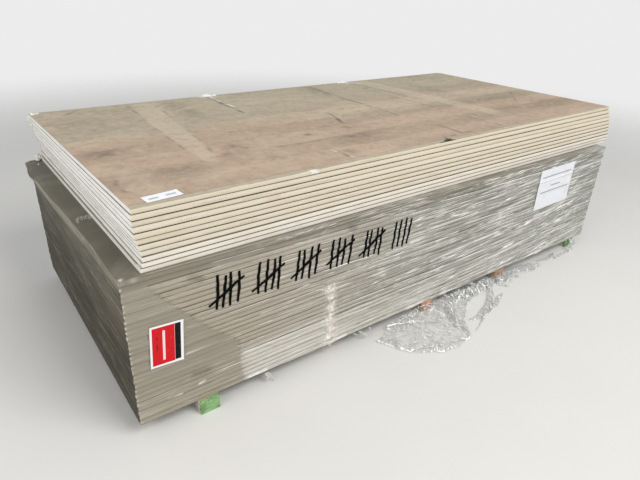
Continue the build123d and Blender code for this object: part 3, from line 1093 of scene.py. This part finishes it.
# creases as start, end, width and strength; x from the left end, y from the front edge
creases = (
    ((0.806, 0.78), (0.812, 1.20), 0.010, 1.0),
    ((0.803, 0.045), (0.806, 0.14), 0.007, 0.8),
    ((1.145, 0.61), (1.088, 0.44), 0.011, 1.0),
    ((1.165, 0.61), (1.160, 0.56), 0.008, 0.7),
    ((1.450, 1.15), (1.412, 0.42), 0.010, 0.7),
    ((1.445, 0.27), (1.425, 0.05), 0.010, 0.8),
    ((1.728, 1.14), (1.715, 0.46), 0.011, 0.35),
    ((1.700, 0.24), (1.702, 0.05), 0.008, 0.8),
    ((0.405, 1.15), (0.370, 0.78), 0.007, 0.45),
    ((0.370, 0.78), (0.345, 0.40), 0.006, 0.35),
    ((0.528, 1.12), (0.490, 0.86), 0.008, 0.45),
    ((0.490, 0.86), (0.425, 0.36), 0.006, 0.3),
    ((0.425, 0.40), (0.395, 0.25), 0.006, 0.5),
    ((2.217, 0.317), (2.467, 0.525), 0.006, 0.8),
    ((2.060, 0.260), (2.217, 0.317), 0.006, 0.4),
    ((0.650, 0.275), (0.870, 0.262), 0.007, 0.6),
    ((0.640, 0.272), (1.200, 0.270), 0.006, 0.3),
    ((0.050, 0.30), (0.030, 0.17), 0.008, 0.6),
    ((0.030, 0.14), (0.060, 0.085), 0.008, 0.6),
    ((0.20, 1.17), (0.12, 1.10), 0.012, 0.5),
)
wider_creases = [(start, end, 1.5 * width, strength) for start, end, width, strength in creases]

# the sheet's points, closer together at the creases and at the tear
near_crease = 0.0035 * np.arange(-3, 5)
at_creases = [near_crease + at for at in (0.808, 0.345, 1.09, 1.115, 1.14, 1.43, 1.715, 1.725)]
along = np.concatenate([np.linspace(0, sheet_length, 260), *at_creases, np.linspace(1.17, 1.33, 41)])
along = np.unique(np.clip(np.round(along, 4), 0, sheet_length))
skin, ivory, depth = sheet_skin(510, True, along - half_length, np.linspace(0, 0.56, 76))
x, y = skin[..., 0] + half_length, skin[..., 1] + half_width
upper = ramp(skin[..., 2], 0.010, 0.0168)

# the creases, with painted shade on one side and a painted highlight on the other, and the pale bands where
# the paper was rubbed
astray = x + 0.004 * waves(90, x, y, 0.4, 0.11) + 0.002 * waves(92, x, y, 0.3, 0.035)
rough = np.clip(0.55 + 0.75 * waves(71, x, y, 0.05, 0.035), 0, 1)
dent = strongest(stroke, astray, y, creases) * rough
fold_shade = strongest(stroke, astray + 0.003, y, wider_creases) * rough
lit = strongest(stroke, astray - 0.008, y, wider_creases) * rough
pale = np.zeros_like(x)
pale_bands = (
    ((0.342, 0.358, 0.433), (0.400, 0.475, 0.550), 0.25),
    ((1.838, 1.810, 1.775), (1.940, 1.915, 1.885), 0.20),
)
for left_at, right_at, front_at in pale_bands:
    left_edge = np.interp(y, (0.267, 0.733, 1.2), left_at)
    right_edge = np.interp(y, (0.267, 0.733, 1.2), right_at)
    band = ramp(x, left_edge - 0.006, left_edge + 0.006) * ramp(x, right_edge + 0.008, right_edge - 0.008)
    band = band * ramp(y, front_at - 0.06, front_at + 0.06) * (0.85 + 0.15 * waves(72, x, y, 0.03, 0.2))
    pale = np.maximum(pale, band)
pale_strokes = (
    ((1.735, 1.18), (1.728, 0.52), 0.022, 0.85),
    ((1.150, 0.60), (1.142, 0.48), 0.012, 0.9),
    ((0.085, 0.26), (0.11, 0.10), 0.10, 0.55),
    ((0.620, 0.37), (0.630, 0.16), 0.05, 0.35),
)
pale = np.maximum(pale, strongest(stroke, x, y, pale_strokes))

# the paper's colour: a little pinker at the front, a little greener behind
greyer = ramp(y + 0.22 * waves(73, x, y, 0.7, 0.25) + 0.10 * (x - 1.3), 0.34, 1.0)
paper_colour = mix(np.array((184, 162, 141)), (190, 179, 156), greyer)
wobble = y + 0.004 * waves(74, x, 0.0, 0.15, 1.0)
uneven = 1.05 + 0.5 * waves(87, x, 0.0, 0.5, 1.0)
levels = np.ones_like(x)
for edge_y, change in ((0.145, -0.050), (0.279, 0.055), (0.408, -0.055), (0.538, 0.055), (0.688, -0.040)):
    levels = levels + change * uneven * ramp(wobble, edge_y - 0.005, edge_y + 0.005)
levels = levels * (1 + 0.045 * waves(75, x, y, 0.45, 0.16) + 0.036 * waves(76, x, y, 0.09, 0.05))
levels = levels * (1 + 0.024 * waves(88, x, y, 0.03, 0.024))
stains = (
    ((0.095, 0.500), (0.055, 0.045), 0.20),
    ((0.510, 0.345), (0.045, 0.040), 0.16),
    ((0.445, 0.290), (0.050, 0.020), 0.12),
    ((0.560, 0.170), (0.040, 0.030), 0.12),
    ((0.835, 0.352), (0.020, 0.014), 0.26),
    ((0.990, 0.236), (0.080, 0.060), 0.14),
    ((1.060, 0.370), (0.100, 0.050), 0.09),
    ((1.070, 0.049), (0.026, 0.007), 0.30),
    ((0.840, 0.090), (0.030, 0.030), 0.10),
    ((0.600, 0.880), (0.040, 0.070), 0.13),
    ((0.580, 1.040), (0.050, 0.090), 0.12),
    ((1.400, 1.050), (0.060, 0.160), 0.12),
    ((1.745, 1.060), (0.018, 0.160), 0.10),
    ((0.250, 0.220), (0.110, 0.050), 0.11),
    ((0.130, 0.950), (0.200, 0.030), 0.06),
    ((0.150, 0.950), (0.330, 0.260), 0.05),
    ((2.430, 0.220), (0.300, 0.050), 0.07),
    ((1.950, 0.455), (0.400, 0.030), 0.07),
    ((2.050, 0.750), (0.060, 0.300), 0.05),
    ((1.187, 0.009), (0.007, 0.006), 0.60),
    ((1.205, 0.013), (0.009, 0.005), 0.30),
    ((1.295, 0.044), (0.007, 0.004), 0.45),
    ((1.357, 0.047), (0.016, 0.005), 0.28),
    ((1.316, 0.132), (0.007, 0.006), 0.35),
    ((1.458, 0.052), (0.020, 0.005), 0.34),
    ((1.120, 0.037), (0.005, 0.005), 0.40),
    ((1.330, 0.290), (0.006, 0.006), 0.35),
)
blotchy = 0.7 + 0.6 * waves(77, x, y, 0.022, 0.016)
stained = sum(patch(x, y, at, size) * strength for at, size, strength in stains)
levels = levels - 1.35 * stained * blotchy
specks = ramp(waves(78, x, y, 0.009, 0.009), 0.72, 0.88) * ramp(waves(79, x, y, 0.16, 0.12), 0.20, 0.50)
levels = levels - 0.14 * specks
paper_colour = mix(paper_colour * levels[..., None], (208, 195, 172), 0.62 * pale)
# Painted highlight on the creases' lit side, and painted shade in them.
paper_colour = mix(paper_colour, (206, 196, 176), 0.70 * lit) * (1 - 0.50 * fold_shade[..., None])
torn_strokes = (
    ((0.790, 1.188), (0.830, 1.170), 0.056, 1.0),
    ((0.812, 1.150), (0.818, 1.105), 0.014, 0.7),
    ((0.812, 1.15), (0.816, 1.05), 0.014, 0.6),
    ((0.818, 0.97), (0.822, 0.92), 0.014, 0.9),
    ((1.690, 1.190), (1.730, 1.180), 0.056, 1.0),
    ((1.735, 1.180), (1.800, 1.120), 0.016, 0.7),
    ((0.790, 0.140), (0.796, 0.120), 0.008, 1.0),
    ((0.800, 0.047), (0.803, 0.043), 0.008, 1.0),
)
torn = strongest(stroke, x, y, torn_strokes) * ramp(waves(80, x, y, 0.014, 0.02), -0.9, 0.0)
paper_colour = mix(paper_colour, torn_white, torn)


def blunt(grid, side, size, push=1.0):
    """Knocks in a back corner of the sheet, by moving the points that reach past the cut."""
    past = grid[..., 0] * side + grid[..., 1] - half_length - half_width + size * 1.41
    past = np.maximum(past, 0) / 2
    grid[..., 0] -= side * past
    grid[..., 1] -= past * push


# its shape: dents, a slight wave, the torn front edge and the two blunt corners
tear_left, tear_deepest, tear_right = 1.204, 1.300, 1.318
tear_deep = np.interp(x, (tear_left, 1.245, tear_deepest, tear_right), (0.0, 0.013, 0.040, 0.0))
tear_deep = tear_deep * (1 + 0.12 * waves(81, x, 0.0, 0.012, 1.0))
wedge = np.clip(1 - y / np.maximum(tear_deep, 0.0005), 0, 1)
hollow = ramp(wedge, 0.0, 0.16) * upper * (y < 0.04)
behind_lip = ramp(y, 0.0012, 0.0038)
torn_down = hollow * (0.0022 + 0.0058 * wedge * behind_lip) * (0.85 + 0.2 * waves(82, x, y, 0.008, 0.01))
sink = 0.0011 * dent + 0.0003 * pale + 0.0004 * (1 - waves(83, x, y, 0.5, 0.4))
skin[..., 2] -= upper * sink * ramp(np.abs(y - 0.6), 0.6, 0.59)
skin[..., 2] += upper * 0.0009 * patch(x, y, (1.275, 0.04), (0.05, 0.012)) * (1 - hollow)
skin[..., 2] -= torn_down
for side, size in corner_sizes:
    blunt(skin, side, size, 0.9 + 0.1 * waves(84, skin[..., 2], 0.0, 0.003, 1.0))
from_left, from_right = np.hypot(x, y - sheet_width), np.hypot(x - sheet_length, y - sheet_width)
broken = ramp(from_left, 0.05, 0.02) + 0.7 * ramp(from_right, 0.05, 0.025)
chip_left = 0.584 - 0.6 * (skin[..., 2] - 0.009)
chip = ramp(x, chip_left, chip_left + 0.004) * ramp(x, chip_left + 0.044, chip_left + 0.036)
chip = chip * ramp(y, 0.004, 0.001) * ramp(skin[..., 2], 0.001, 0.004)
skin[..., 1] += chip * 0.0016
# The tear's hollow: grey torn paper, painted black for the shadow deep inside it.
rim = hollow * ramp(wedge, 0.0, 0.3)
sunk_shadow = np.maximum(ramp(wedge, 0.12, 0.26), ramp(x, 1.264, 1.252))
hollow_colour_and_shadow = np.array((126, 123, 108)) * (1 - 0.92 * sunk_shadow * behind_lip)[..., None]
paper_colour = mix(paper_colour, hollow_colour_and_shadow, rim)
bare = np.clip(broken * ramp(waves(85, x, y, 0.012, 0.012), -0.2, 0.4) + chip, 0, 1)


def top_back(spot, fibre, cloud):
    """The top sheet's back paper: what is painted on its points, and finer mottling."""
    mottle = spot.noise(34, 6, 0.72)
    speck = spot.noise(240, 3, 0.7).rise(0.66, 0.74)
    drag = spot.stretch(0.10, 1.6, 1).noise(60, 3, 0.6)
    return spot.mark("stained", "Color").under(
        (mottle.rise(0.50, 0.34) * 0.42, (146, 130, 112)),
        (mottle.rise(0.52, 0.68) * 0.38, (204, 191, 170)),
        (drag.rise(0.58, 0.72) * 0.16, (206, 194, 174)),
        (fibre.rise(0.3, 0.8) * 0.16, (120, 104, 88)),
        (speck * 0.30, (112, 98, 84)),
    )


edge_off = np.minimum(y, sheet_width - y)
fold_width = 0.0235
on_top = upper > 0.995
folded = on_top & (edge_off < fold_width)
strip_colour = np.array((183, 172, 153)) * (1 + 0.04 * waves(86, x, y, 0.12, 0.01))[..., None]
strip_colour = mix(mix(strip_colour, torn_white, torn), hollow_colour_and_shadow, rim)
fold_line = bell((edge_off - fold_width) / 0.0022) * (0.8 + 0.2 * waves(89, x, 0.0, 0.2, 1.0))
shown = np.where(folded[..., None], linear(strip_colour), linear(np.clip(paper_colour, 0, 255)))
shown = mix(shown * (1 - 0.40 * fold_line * upper * (1 - rim))[..., None], linear((232, 230, 222)), bare)
shown_ivory = np.where(on_top, 0.0, ivory) * (1 - bare)
ends = [sheet_end(520 + side, True, side, 150, 0.0014) for side in (-1, 1)]
for end, (side, size) in zip(ends, corner_sizes):
    blunt(end, side, size)
under_it = covered(skin, depth, lie(top_node), lie("upper_sheet_02")) * (skin[..., 2] < 0.009)
marks = sheet_marks(skin, shown_ivory, ends, 0.0, 510, under_it, 1.0)
stained = np.ones((len(marks["tone"]), 4))
stained[: x.size, :3] = shown.reshape(-1, 3)
marks["stained"] = stained
join_sheet("top_sheet", top_node, skin, ends, paper_finish("stained_papers", top_back), marks, True)

# Strip label on the top sheet: a white paper sticker near the front left corner,
# a little askew, with two faint plain bars.
strip_length, strip_width = 0.108, 0.045
strip_tilt = lie(top_node)[2] + math.radians(4.0)
share_x, share_y, x, y = leaf("strip_label", strip_length, strip_width, -strip_tilt, 30, 14, "y")
curl = 0.0012 * ramp(share_x, 0.9, 1.0) * ramp(share_y, 0.6, 1.0) + 0.0002 * waves(91, x, y, 0.03, 0.02)
strip_points = spots(x, y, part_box("strip_label")[1].z + 0.0001 + np.abs(curl))
sticker, place = finish("sticker_paper")
across, height = place.mark("across"), place.mark("up")
fibre = place.noise(800, 3)
bars = abs(height - 0.45).rise(0.16, 0.10) * across.rise(0.10, 0.13) * across.rise(0.40, 0.37)
bars = bars + abs(height - 0.5).rise(0.16, 0.10) * across.rise(0.58, 0.61) * across.rise(0.90, 0.87)
colour = fibre.tint((246, 248, 252), (238, 240, 245)).under((bars * 0.5, (96, 100, 116)))
place.coat(Base_Color=colour, Roughness=0.45, Normal=fibre.bump(0.0002, 0.4))
strip_label = make(
    "strip_label_sticker",
    [strip_points],
    quilts([strip_points]),
    [sticker],
    marks={"across": share_x, "up": share_y},
)
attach(strip_label, "root")
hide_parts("strip_label")

# Loose tail of the film: the same clear film, pulled out from under the pack and
# left crumpled on the ground. It is one big lobe at the middle bearer, then
# strands, a puffed lump and thin folds that run along to the right end. Its folds
# have painted highlights on their ridges and painted shade beside them.


def folds(seed, u, v, sizes, count):
    """Crumpled film: sharp folds at all angles. Gives height, 0 to 1, and the ridges."""
    dice = np.random.default_rng(seed)
    height, ridge, total = np.zeros_like(u), np.zeros_like(u), 0.0
    for number in range(count):
        angle, size = dice.uniform(0, math.pi), dice.uniform(*sizes)
        run = (u * math.cos(angle) + v * math.sin(angle)) / size + dice.uniform(0, 1)
        run = run + 0.45 * waves(seed + number, u, v, 2.2 * size, 2.2 * size)
        wedge = np.abs(2 * (run - np.floor(run + 0.5)))
        height, total = height + size * wedge, total + size
        here = ramp(waves(seed + 50 + number, u, v, 3 * size, 3 * size), -0.2, 0.5)
        ridge = np.maximum(ridge, ramp(wedge, 0.86, 1.0) * here)
    return height / total, ridge


def along_path(path, steps):
    """A smooth line through these places on the ground, in even steps."""
    path, reach = np.array(path, float), np.linspace(0, 1, len(path))
    fine = np.linspace(0, 1, steps)
    line = np.stack([np.interp(fine, reach, path[:, k]) for k in (0, 1)], -1)
    for _ in range(max(steps // 12, 1)):
        line[1:-1] = (line[:-2] + 2 * line[1:-1] + line[2:]) / 4
    return line


def strand(seed, steps, across, crumple, stations):
    """A crumpled band of film on the ground. A station is x, y, width and height there."""
    stations = np.array(stations)
    middle = along_path(stations[:, :2], steps)
    reach, fine = np.linspace(0, 1, len(stations)), np.linspace(0, 1, steps)
    ahead = np.gradient(middle, axis=0)
    ahead = ahead / np.linalg.norm(ahead, axis=1)[:, None]
    width, rise = [np.interp(fine, reach, stations[:, k]) for k in (2, 3)]
    side = np.linspace(-0.5, 0.5, across)
    width = width[:, None] * (1 + 0.25 * waves(seed, fine[:, None] * 9, side * 2, 1.0, 0.7))
    x = middle[:, :1] - ahead[:, 1:] * side * width
    y = middle[:, 1:] + ahead[:, :1] * side * width
    height, ridge = folds(seed, x, y, (0.016, 0.05), 7)
    arch = np.cos(math.pi * side)[None, :] ** 0.7
    z = 0.0012 + rise[:, None] * arch * (0.55 + 0.6 * height) + crumple * height
    x = x + 0.005 * waves(seed + 3, x, y, 0.035, 0.035)
    y = y + 0.005 * waves(seed + 4, x, y, 0.035, 0.035)
    edge = ramp(np.abs(side), 0.40, 0.5)[None, :] + 0 * x
    return spots(x, y, z), np.maximum(ridge, edge * 0.55)


# the lobe, between the pack and its outer edge
lobe_back = ((-0.235, -0.606), (-0.12, -0.598), (0.0, -0.598), (0.1, -0.598), (0.2, -0.605), (0.3, -0.625))
lobe_front = (
    (-0.345, -0.655),
    (-0.325, -0.690),
    (-0.302, -0.738),
    (-0.269, -0.788),
    (-0.219, -0.821),
    (-0.169, -0.848),
    (-0.132, -0.858),
    (-0.054, -0.860),
    (0.015, -0.838),
    (0.050, -0.790),
    (0.090, -0.745),
    (0.140, -0.712),
    (0.225, -0.672),
    (0.320, -0.648),
)
lobe_columns, lobe_rows = 240, 92
back, front_edge = along_path(lobe_back, lobe_columns), along_path(lobe_front, lobe_columns)
u, v = np.meshgrid(np.linspace(0, 1, lobe_columns), np.linspace(0, 1, lobe_rows), indexing="ij")
ragged = 0.010 * waves(95, u, 0.0, 0.05, 1.0) + 0.004 * waves(96, u, 0.0, 0.012, 1.0)
x = back[:, None, 0] * (1 - v) + front_edge[:, None, 0] * v
y = back[:, None, 1] * (1 - v) + front_edge[:, None, 1] * v + ragged * v**6
height, ridge = folds(97, x, y, (0.025, 0.09), 9)
small, small_ridge = folds(98, x, y, (0.012, 0.03), 8)
near_pack = ramp(v, 0.45, 0.02)
from_middle, round_it = np.hypot((x + 0.03) / 1.3, y + 0.75), np.arctan2(y + 0.75, x + 0.03)
ovals = np.abs(waves(99, from_middle, round_it, 0.02, 2.0))
z = 0.0015 + 0.010 * height + 0.034 * near_pack * (0.35 + 0.65 * height) + 0.002 * small
z = z + 0.006 * ramp(v, 0.84, 1.0) * small + 0.005 * ovals * ramp(v, 0.3, 0.5)
z = z * ramp(v, 1.02, 0.96) + 0.0012
edge_white = ramp(v, 0.965, 1.0) * ramp(waves(100, u, v, 0.022, 0.2), 0.0, 0.5)
# the fold ridges, milky and carrying painted highlights
milky_and_glinting = np.maximum(ridge * 0.9, small_ridge * (0.12 + 0.8 * near_pack + 0.5 * ramp(v, 0.8, 1.0)))
milky_and_glinting = np.maximum(milky_and_glinting, ramp(ovals, 0.10, 0.0) * ramp(v, 0.25, 0.45) * 0.75)
milky_and_glinting = np.maximum(milky_and_glinting, edge_white) * (0.5 + 0.5 * ramp(np.abs(v - 0.62), 0.06, 0.36))

# the strands: seed, steps along, points across and crumple, and then the stations
strands = (
    (
        (111, 60, 14, 0.004),
        (0.100, -0.640, 0.050, 0.020),
        (0.055, -0.700, 0.050, 0.012),
        (0.035, -0.770, 0.045, 0.009),
        (0.018, -0.838, 0.012, 0.004),
    ),
    (
        (112, 90, 14, 0.004),
        (0.430, -0.600, 0.050, 0.030),
        (0.400, -0.640, 0.045, 0.016),
        (0.350, -0.690, 0.040, 0.010),
        (0.270, -0.740, 0.042, 0.010),
        (0.170, -0.772, 0.030, 0.008),
        (0.105, -0.760, 0.012, 0.004),
    ),
    (
        (113, 90, 10, 0.003),
        (0.425, -0.705, 0.012, 0.006),
        (0.330, -0.738, 0.030, 0.010),
        (0.200, -0.775, 0.014, 0.008),
        (0.060, -0.835, 0.006, 0.003),
    ),
    (
        (114, 110, 22, 0.006),
        (0.12, -0.602, 0.070, 0.036),
        (0.25, -0.612, 0.075, 0.030),
        (0.38, -0.610, 0.070, 0.034),
        (0.52, -0.606, 0.060, 0.030),
    ),
    (
        (115, 40, 14, 0.006),
        (0.500, -0.600, 0.04, 0.034),
        (0.545, -0.632, 0.06, 0.020),
        (0.560, -0.668, 0.02, 0.006),
    ),
    (
        (116, 40, 14, 0.006),
        (0.53, -0.604, 0.04, 0.034),
        (0.60, -0.625, 0.045, 0.020),
        (0.640, -0.660, 0.012, 0.004),
    ),
    (
        (117, 36, 10, 0.004),
        (0.50, -0.610, 0.03, 0.030),
        (0.48, -0.650, 0.025, 0.012),
        (0.505, -0.690, 0.008, 0.004),
    ),
    (
        (118, 70, 20, 0.005),
        (0.60, -0.600, 0.030, 0.022),
        (0.70, -0.612, 0.050, 0.022),
        (0.76, -0.630, 0.055, 0.026),
        (0.84, -0.640, 0.014, 0.008),
    ),
    (
        (119, 110, 8, 0.002),
        (0.860, -0.612, 0.008, 0.012),
        (0.935, -0.624, 0.016, 0.014),
        (1.015, -0.606, 0.010, 0.016),
        (0.975, -0.642, 0.014, 0.008),
        (1.080, -0.640, 0.010, 0.012),
        (1.170, -0.634, 0.012, 0.020),
    ),
    (
        (120, 50, 14, 0.006),
        (1.130, -0.618, 0.030, 0.020),
        (1.175, -0.606, 0.034, 0.030),
        (1.220, -0.603, 0.030, 0.036),
        (1.262, -0.590, 0.020, 0.040),
    ),
)
grids, clouded = [spots(x, y, z)], [milky_and_glinting]
for (seed, steps, across, crumple), *stations in strands:
    band, ridge = strand(seed, steps, across, crumple, stations)
    grids.append(band)
    clouded.append(np.clip(0.25 + 0.85 * ridge, 0, 1))
clouded = np.concatenate([part.ravel() for part in clouded])
loose_film, place = finish("clear_loose_film")
dust = place.noise(120, 5, 0.7)
bent = abs(place.noise(24, 3, 0.5) - 0.5)
fine = abs(place.noise(75, 2, 0.5) - 0.5)
# White: milky folds with painted highlights. Grey: the film's own tint, with painted shade beside the folds.
milky_and_glinting = place.mark("milky_and_glinting")
white_and_glints = milky_and_glinting.rise(0.45, 0.85) + bent.rise(0.014, 0.004) + fine.rise(0.012, 0.003) * 0.25
white_and_glints = white_and_glints.math("MINIMUM", 1.0)
grey_and_shade = milky_and_glinting.rise(0.10, 0.45) * 0.7 + bent.rise(0.06, 0.02) * 0.6 + fine.rise(0.05, 0.02) * 0.10
grey_and_shade = grey_and_shade.math("MINIMUM", 1.0)
place.coat(
    Base_Color=grey_and_shade.tint((190, 192, 188), (112, 115, 112)).under((white_and_glints, (252, 253, 252))),
    Alpha=grey_and_shade * 0.34 + white_and_glints * 0.56 + dust * 0.08,
    Roughness=0.10 + dust * 0.12,
    IOR=1.5,
    Normal=(bent + place.noise(60, 2) * 0.5).bump(0.004, 0.8),
)
marks = {"milky_and_glinting": clouded}
tail = make("loose_film_tail", grids, quilts(grids), [loose_film], marks=marks, sharp=30)
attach(tail, "root")
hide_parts("film_tail")

# Crumbs: bits of gypsum broken off the sheets. They lie on the film's ledge, and
# the largest still hang on the pile's back left corner.
crumb_places = (
    (-1.262, 0.602, 0.0150, 0.0),
    (-1.270, 0.586, 0.0080, 0.0),
    (-1.280, 0.520, 0.0034, 0.0),
    (-1.254, 0.592, 0.0140, 0.1800),
    (-1.238, 0.598, 0.0090, 0.1850),
    (-1.264, 0.578, 0.0110, 0.1800),
    (-1.262, 0.594, 0.0130, 0.1640),
    (-1.260, 0.598, 0.0110, 0.1480),
)
rings, turns = 9, 14
around = np.arange(turns) * 2 * math.pi / turns
rise, around = np.meshgrid(np.linspace(0.02, math.pi - 0.02, rings), around, indexing="ij")
lumps = []
for number, (x, y, size, above) in enumerate(crumb_places):
    lump = size * (1 + 0.45 * waves(200 + number, rise * 3, around * 2, 1.6, 1.9))
    crumb_x = x + lump * np.sin(rise) * np.cos(around)
    crumb_y = y + lump * 1.25 * np.sin(rise) * np.sin(around)
    crumb_z = pack_high + above + 0.0006 + size * 0.7 - 0.75 * lump * np.cos(rise)
    lumps.append(spots(crumb_x, crumb_y, crumb_z))
broken_white, place = finish("broken_gypsum_and_paper")
fibre = place.noise(520, 4, 0.7)
place.coat(
    Base_Color=fibre.tint((226, 223, 214), (244, 242, 236)),
    Roughness=0.9,
    Normal=fibre.bump(0.001, 0.7),
)
crumbs = make("gypsum_crumbs", lumps, quilts(lumps, ring=True), [broken_white], sharp=25)
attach(crumbs, "root")

# Torn paper: white tips that stand up from the top sheet's back edge, where it was
# knocked. Each is a small curled flap of paper with gypsum still on it. Their places
# are distances from that sheet's left end and front edge.
flaps = (
    (241, (0.806, 1.170), 0.050, 0.052, 0.3),
    (242, (0.830, 1.166), 0.040, 0.046, -0.3),
    (245, (0.852, 1.172), 0.026, 0.034, 0.4),
    (243, (1.712, 1.170), 0.052, 0.050, 0.2),
    (244, (1.690, 1.174), 0.034, 0.036, -0.4),
)
across, along_it = np.meshgrid(np.linspace(-0.5, 0.5, 9), np.linspace(0, 1, 11))
tips = []
for seed, (x, y), width, length, lean in flaps:
    taper = width * (1 - 0.75 * along_it**1.3) * (1 + 0.3 * waves(seed, along_it, across, 0.3, 0.4))
    curl = 1.5 * along_it
    flap_x = x - half_length + across * taper + lean * length * along_it * 0.6
    flap_y = y - half_width + length * 0.5 * np.sin(curl)
    flap_y = flap_y + 0.002 * waves(seed + 1, across, along_it, 0.3, 0.3)
    flap_z = sheet_thickness + 0.0008 + length * 0.16 * (1 - np.cos(curl))
    flap_z = flap_z + 0.0006 * waves(seed + 2, across, along_it, 0.3, 0.3)
    tips.append(spots(flap_x, flap_y, flap_z))
torn_paper = make("torn_paper_tips", tips, quilts(tips), [broken_white], sharp=60)
put(torn_paper, lie(top_node))
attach(torn_paper, "root")

# Shreds: torn ends of the film that hang from the pack's lower edge, and a scuffed,
# crumpled patch of it on the ledge at the left.
shreds = (
    (131, (-0.846, -0.838, -0.842), 0.012, 0.048, 0.030),
    (132, (-0.838, -0.824, -0.812), 0.009, 0.046, 0.042),
    (133, (-0.402, -0.382, -0.358), 0.014, 0.050, 0.036),
    (134, (-0.352, -0.348, -0.346), 0.008, 0.050, 0.014),
    (135, (-0.430, -0.424, -0.418), 0.010, 0.052, 0.012),
    (136, (1.180, 1.190, 1.200), 0.020, 0.052, 0.030),
    (137, (1.262, 1.270, 1.280), 0.016, 0.052, 0.034),
    (138, (0.300, 0.310, 0.325), 0.020, 0.050, 0.020),
    (139, (-0.560, -0.552, -0.548), 0.012, 0.051, 0.010),
)
grids, rims = [], []
share, side = np.meshgrid(np.linspace(0, 1, 18), np.linspace(-0.5, 0.5, 7), indexing="ij")
for seed, path, width, high_z, drop in shreds:
    taper = width * (1 - 0.8 * share**1.5)
    x = np.interp(share, (0, 0.5, 1), path) + side * taper + 0.003 * waves(seed, share, side, 0.3, 0.5)
    y = -0.604 - 0.006 * share + 0.003 * waves(seed + 1, share, side, 0.25, 0.25)
    z = high_z - drop * share + 0.002 * waves(seed + 2, share, side, 0.2, 0.3)
    grids.append(spots(x, y, np.maximum(z, 0.003)))
    rims.append(np.full(x.size, 3.2))
scuffs = (
    (151, (-1.266, -0.128), (0.072, 0.052), pack_high + 0.0012, 0.0075),
    (152, (-1.232, -0.128), (0.022, 0.020), pack_high + 0.0012, 0.0060),
    (153, (-1.291, -0.150), (0.016, 0.040), pack_high + 0.0010, 0.0040),
)
u, v = np.meshgrid(np.linspace(-1, 1, 34), np.linspace(-1, 1, 30), indexing="ij")
for seed, (middle_x, middle_y), (size_x, size_y), floor_z, high in scuffs:
    x = middle_x + u * size_x / 2 * (1 + 0.25 * waves(seed, u, v, 0.3, 0.5))
    y = middle_y + v * size_y / 2 * (1 + 0.25 * waves(seed + 1, u, v, 0.5, 0.3))
    height, _ = folds(seed, x, y, (0.007, 0.018), 6)
    inside = ramp(np.hypot(u, v) + 0.25 * waves(seed + 2, u, v, 0.25, 0.25), 1.05, 0.45)
    grids.append(spots(x, y, floor_z + high * np.maximum(height * 1.5 - 0.35, 0) * inside))
    rims.append(inside.ravel())
shred_film, place = finish("white_torn_film")
crinkle = place.noise(420, 4, 0.6)
ridge = abs(place.noise(150, 3, 0.6) - 0.5).rise(0.06, 0.01)
clouded = place.mark("rim") * (ridge * 0.8 + crinkle * 0.35)
place.coat(
    Base_Color=crinkle.tint((210, 208, 199), (246, 245, 240)),
    Alpha=clouded.math("MINIMUM", 1.0),
    Roughness=0.3,
    Normal=(crinkle + ridge).bump(0.002, 0.8),
)
marks = {"rim": np.concatenate(rims)}
torn = make("film_shreds", grids, quilts(grids), [shred_film], marks=marks, sharp=60)
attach(torn, "root")

# Floor: a plain pale ground that fades out into a backdrop. Only the camera sees the
# backdrop, so that it adds no light.
floor, place = finish("pale_floor")
patchy = place.noise(3, 4).rise(0.3, 0.8) * 0.25
x, y, _ = place.parts()
far = (x * x + y * y).math("SQRT")
place.coat(
    Base_Color=patchy.tint((220, 219, 216), (213, 212, 209)),
    Alpha=far.rise(6.5, 2.6),
    Roughness=0.7,
)
floor_reach = 12.0
floor_corners = [(x * floor_reach, y * floor_reach, 0) for x, y in ((-1, -1), (1, -1), (1, 1), (-1, 1))]
ground = make("floor", [floor_corners], [[0, 1, 2, 3]], [floor])

world = bpy.data.worlds.new("soft_studio")
world.use_nodes = True
world.node_tree.nodes.clear()
sky = Wire(world.node_tree)
seen = sky.node("ShaderNodeLightPath", output="Is Camera Ray")
fill = sky.node("ShaderNodeBackground", {}, {"Color": (0.97, 0.985, 1.0, 1.0), "Strength": 0.50})
backdrop = sky.node("ShaderNodeBackground", {}, {"Color": shade((236, 236, 236)), "Strength": 1.0})
mixed = sky.node("ShaderNodeMixShader", {}, {0: seen, 1: fill, 2: backdrop})
sky.node("ShaderNodeOutputWorld", {}, {0: mixed})
bpy.context.scene.world = world

# Lamps: a large soft one high in front, and a weaker one at the left, which keeps
# the cut ends of the sheets and the film there readable.
for name, lamp_at, aim, size, power in (
    ("key", (1.0, -4.5, 5.0), (0.1, 0.0, 0.4), 3.5, 285),
    ("left_fill", (-4.2, -1.2, 2.2), (-0.6, 0.0, 0.4), 2.4, 56),
):
    lamp = bpy.data.lights.new(name, "AREA")
    lamp.size, lamp.energy, lamp.color = size, power, (1.0, 0.985, 0.96)
    lit = enter(name, lamp)
    lit.location = lamp_at
    away = [a - b for a, b in zip(lamp_at, aim)]
    lit.rotation_euler = Vector(away).to_track_quat("Z", "Y").to_euler()

# Camera: at the left front corner, a little above the pile. Its place, its axes and
# its lens are solved from the stack's corners in the photo.
camera = bpy.data.cameras.new("camera")
camera.lens, camera.sensor_width = 29.3, 36.0
camera.clip_start, camera.clip_end = 0.05, 100.0
viewer = enter("camera", camera)
right = (0.80325154, -0.5943385, 0.03935374)
up = (0.23813579, 0.38099652, 0.89338289)
back = (-0.54596549, -0.70823965, 0.44756931)
stand_at = (-1.603, -1.870, 1.327)
viewer.matrix_world = Matrix([[right[k], up[k], back[k], stand_at[k]] for k in range(3)] + [[0, 0, 0, 1]])
bpy.context.scene.camera = viewer
bpy.context.scene.view_settings.view_transform = "Standard"
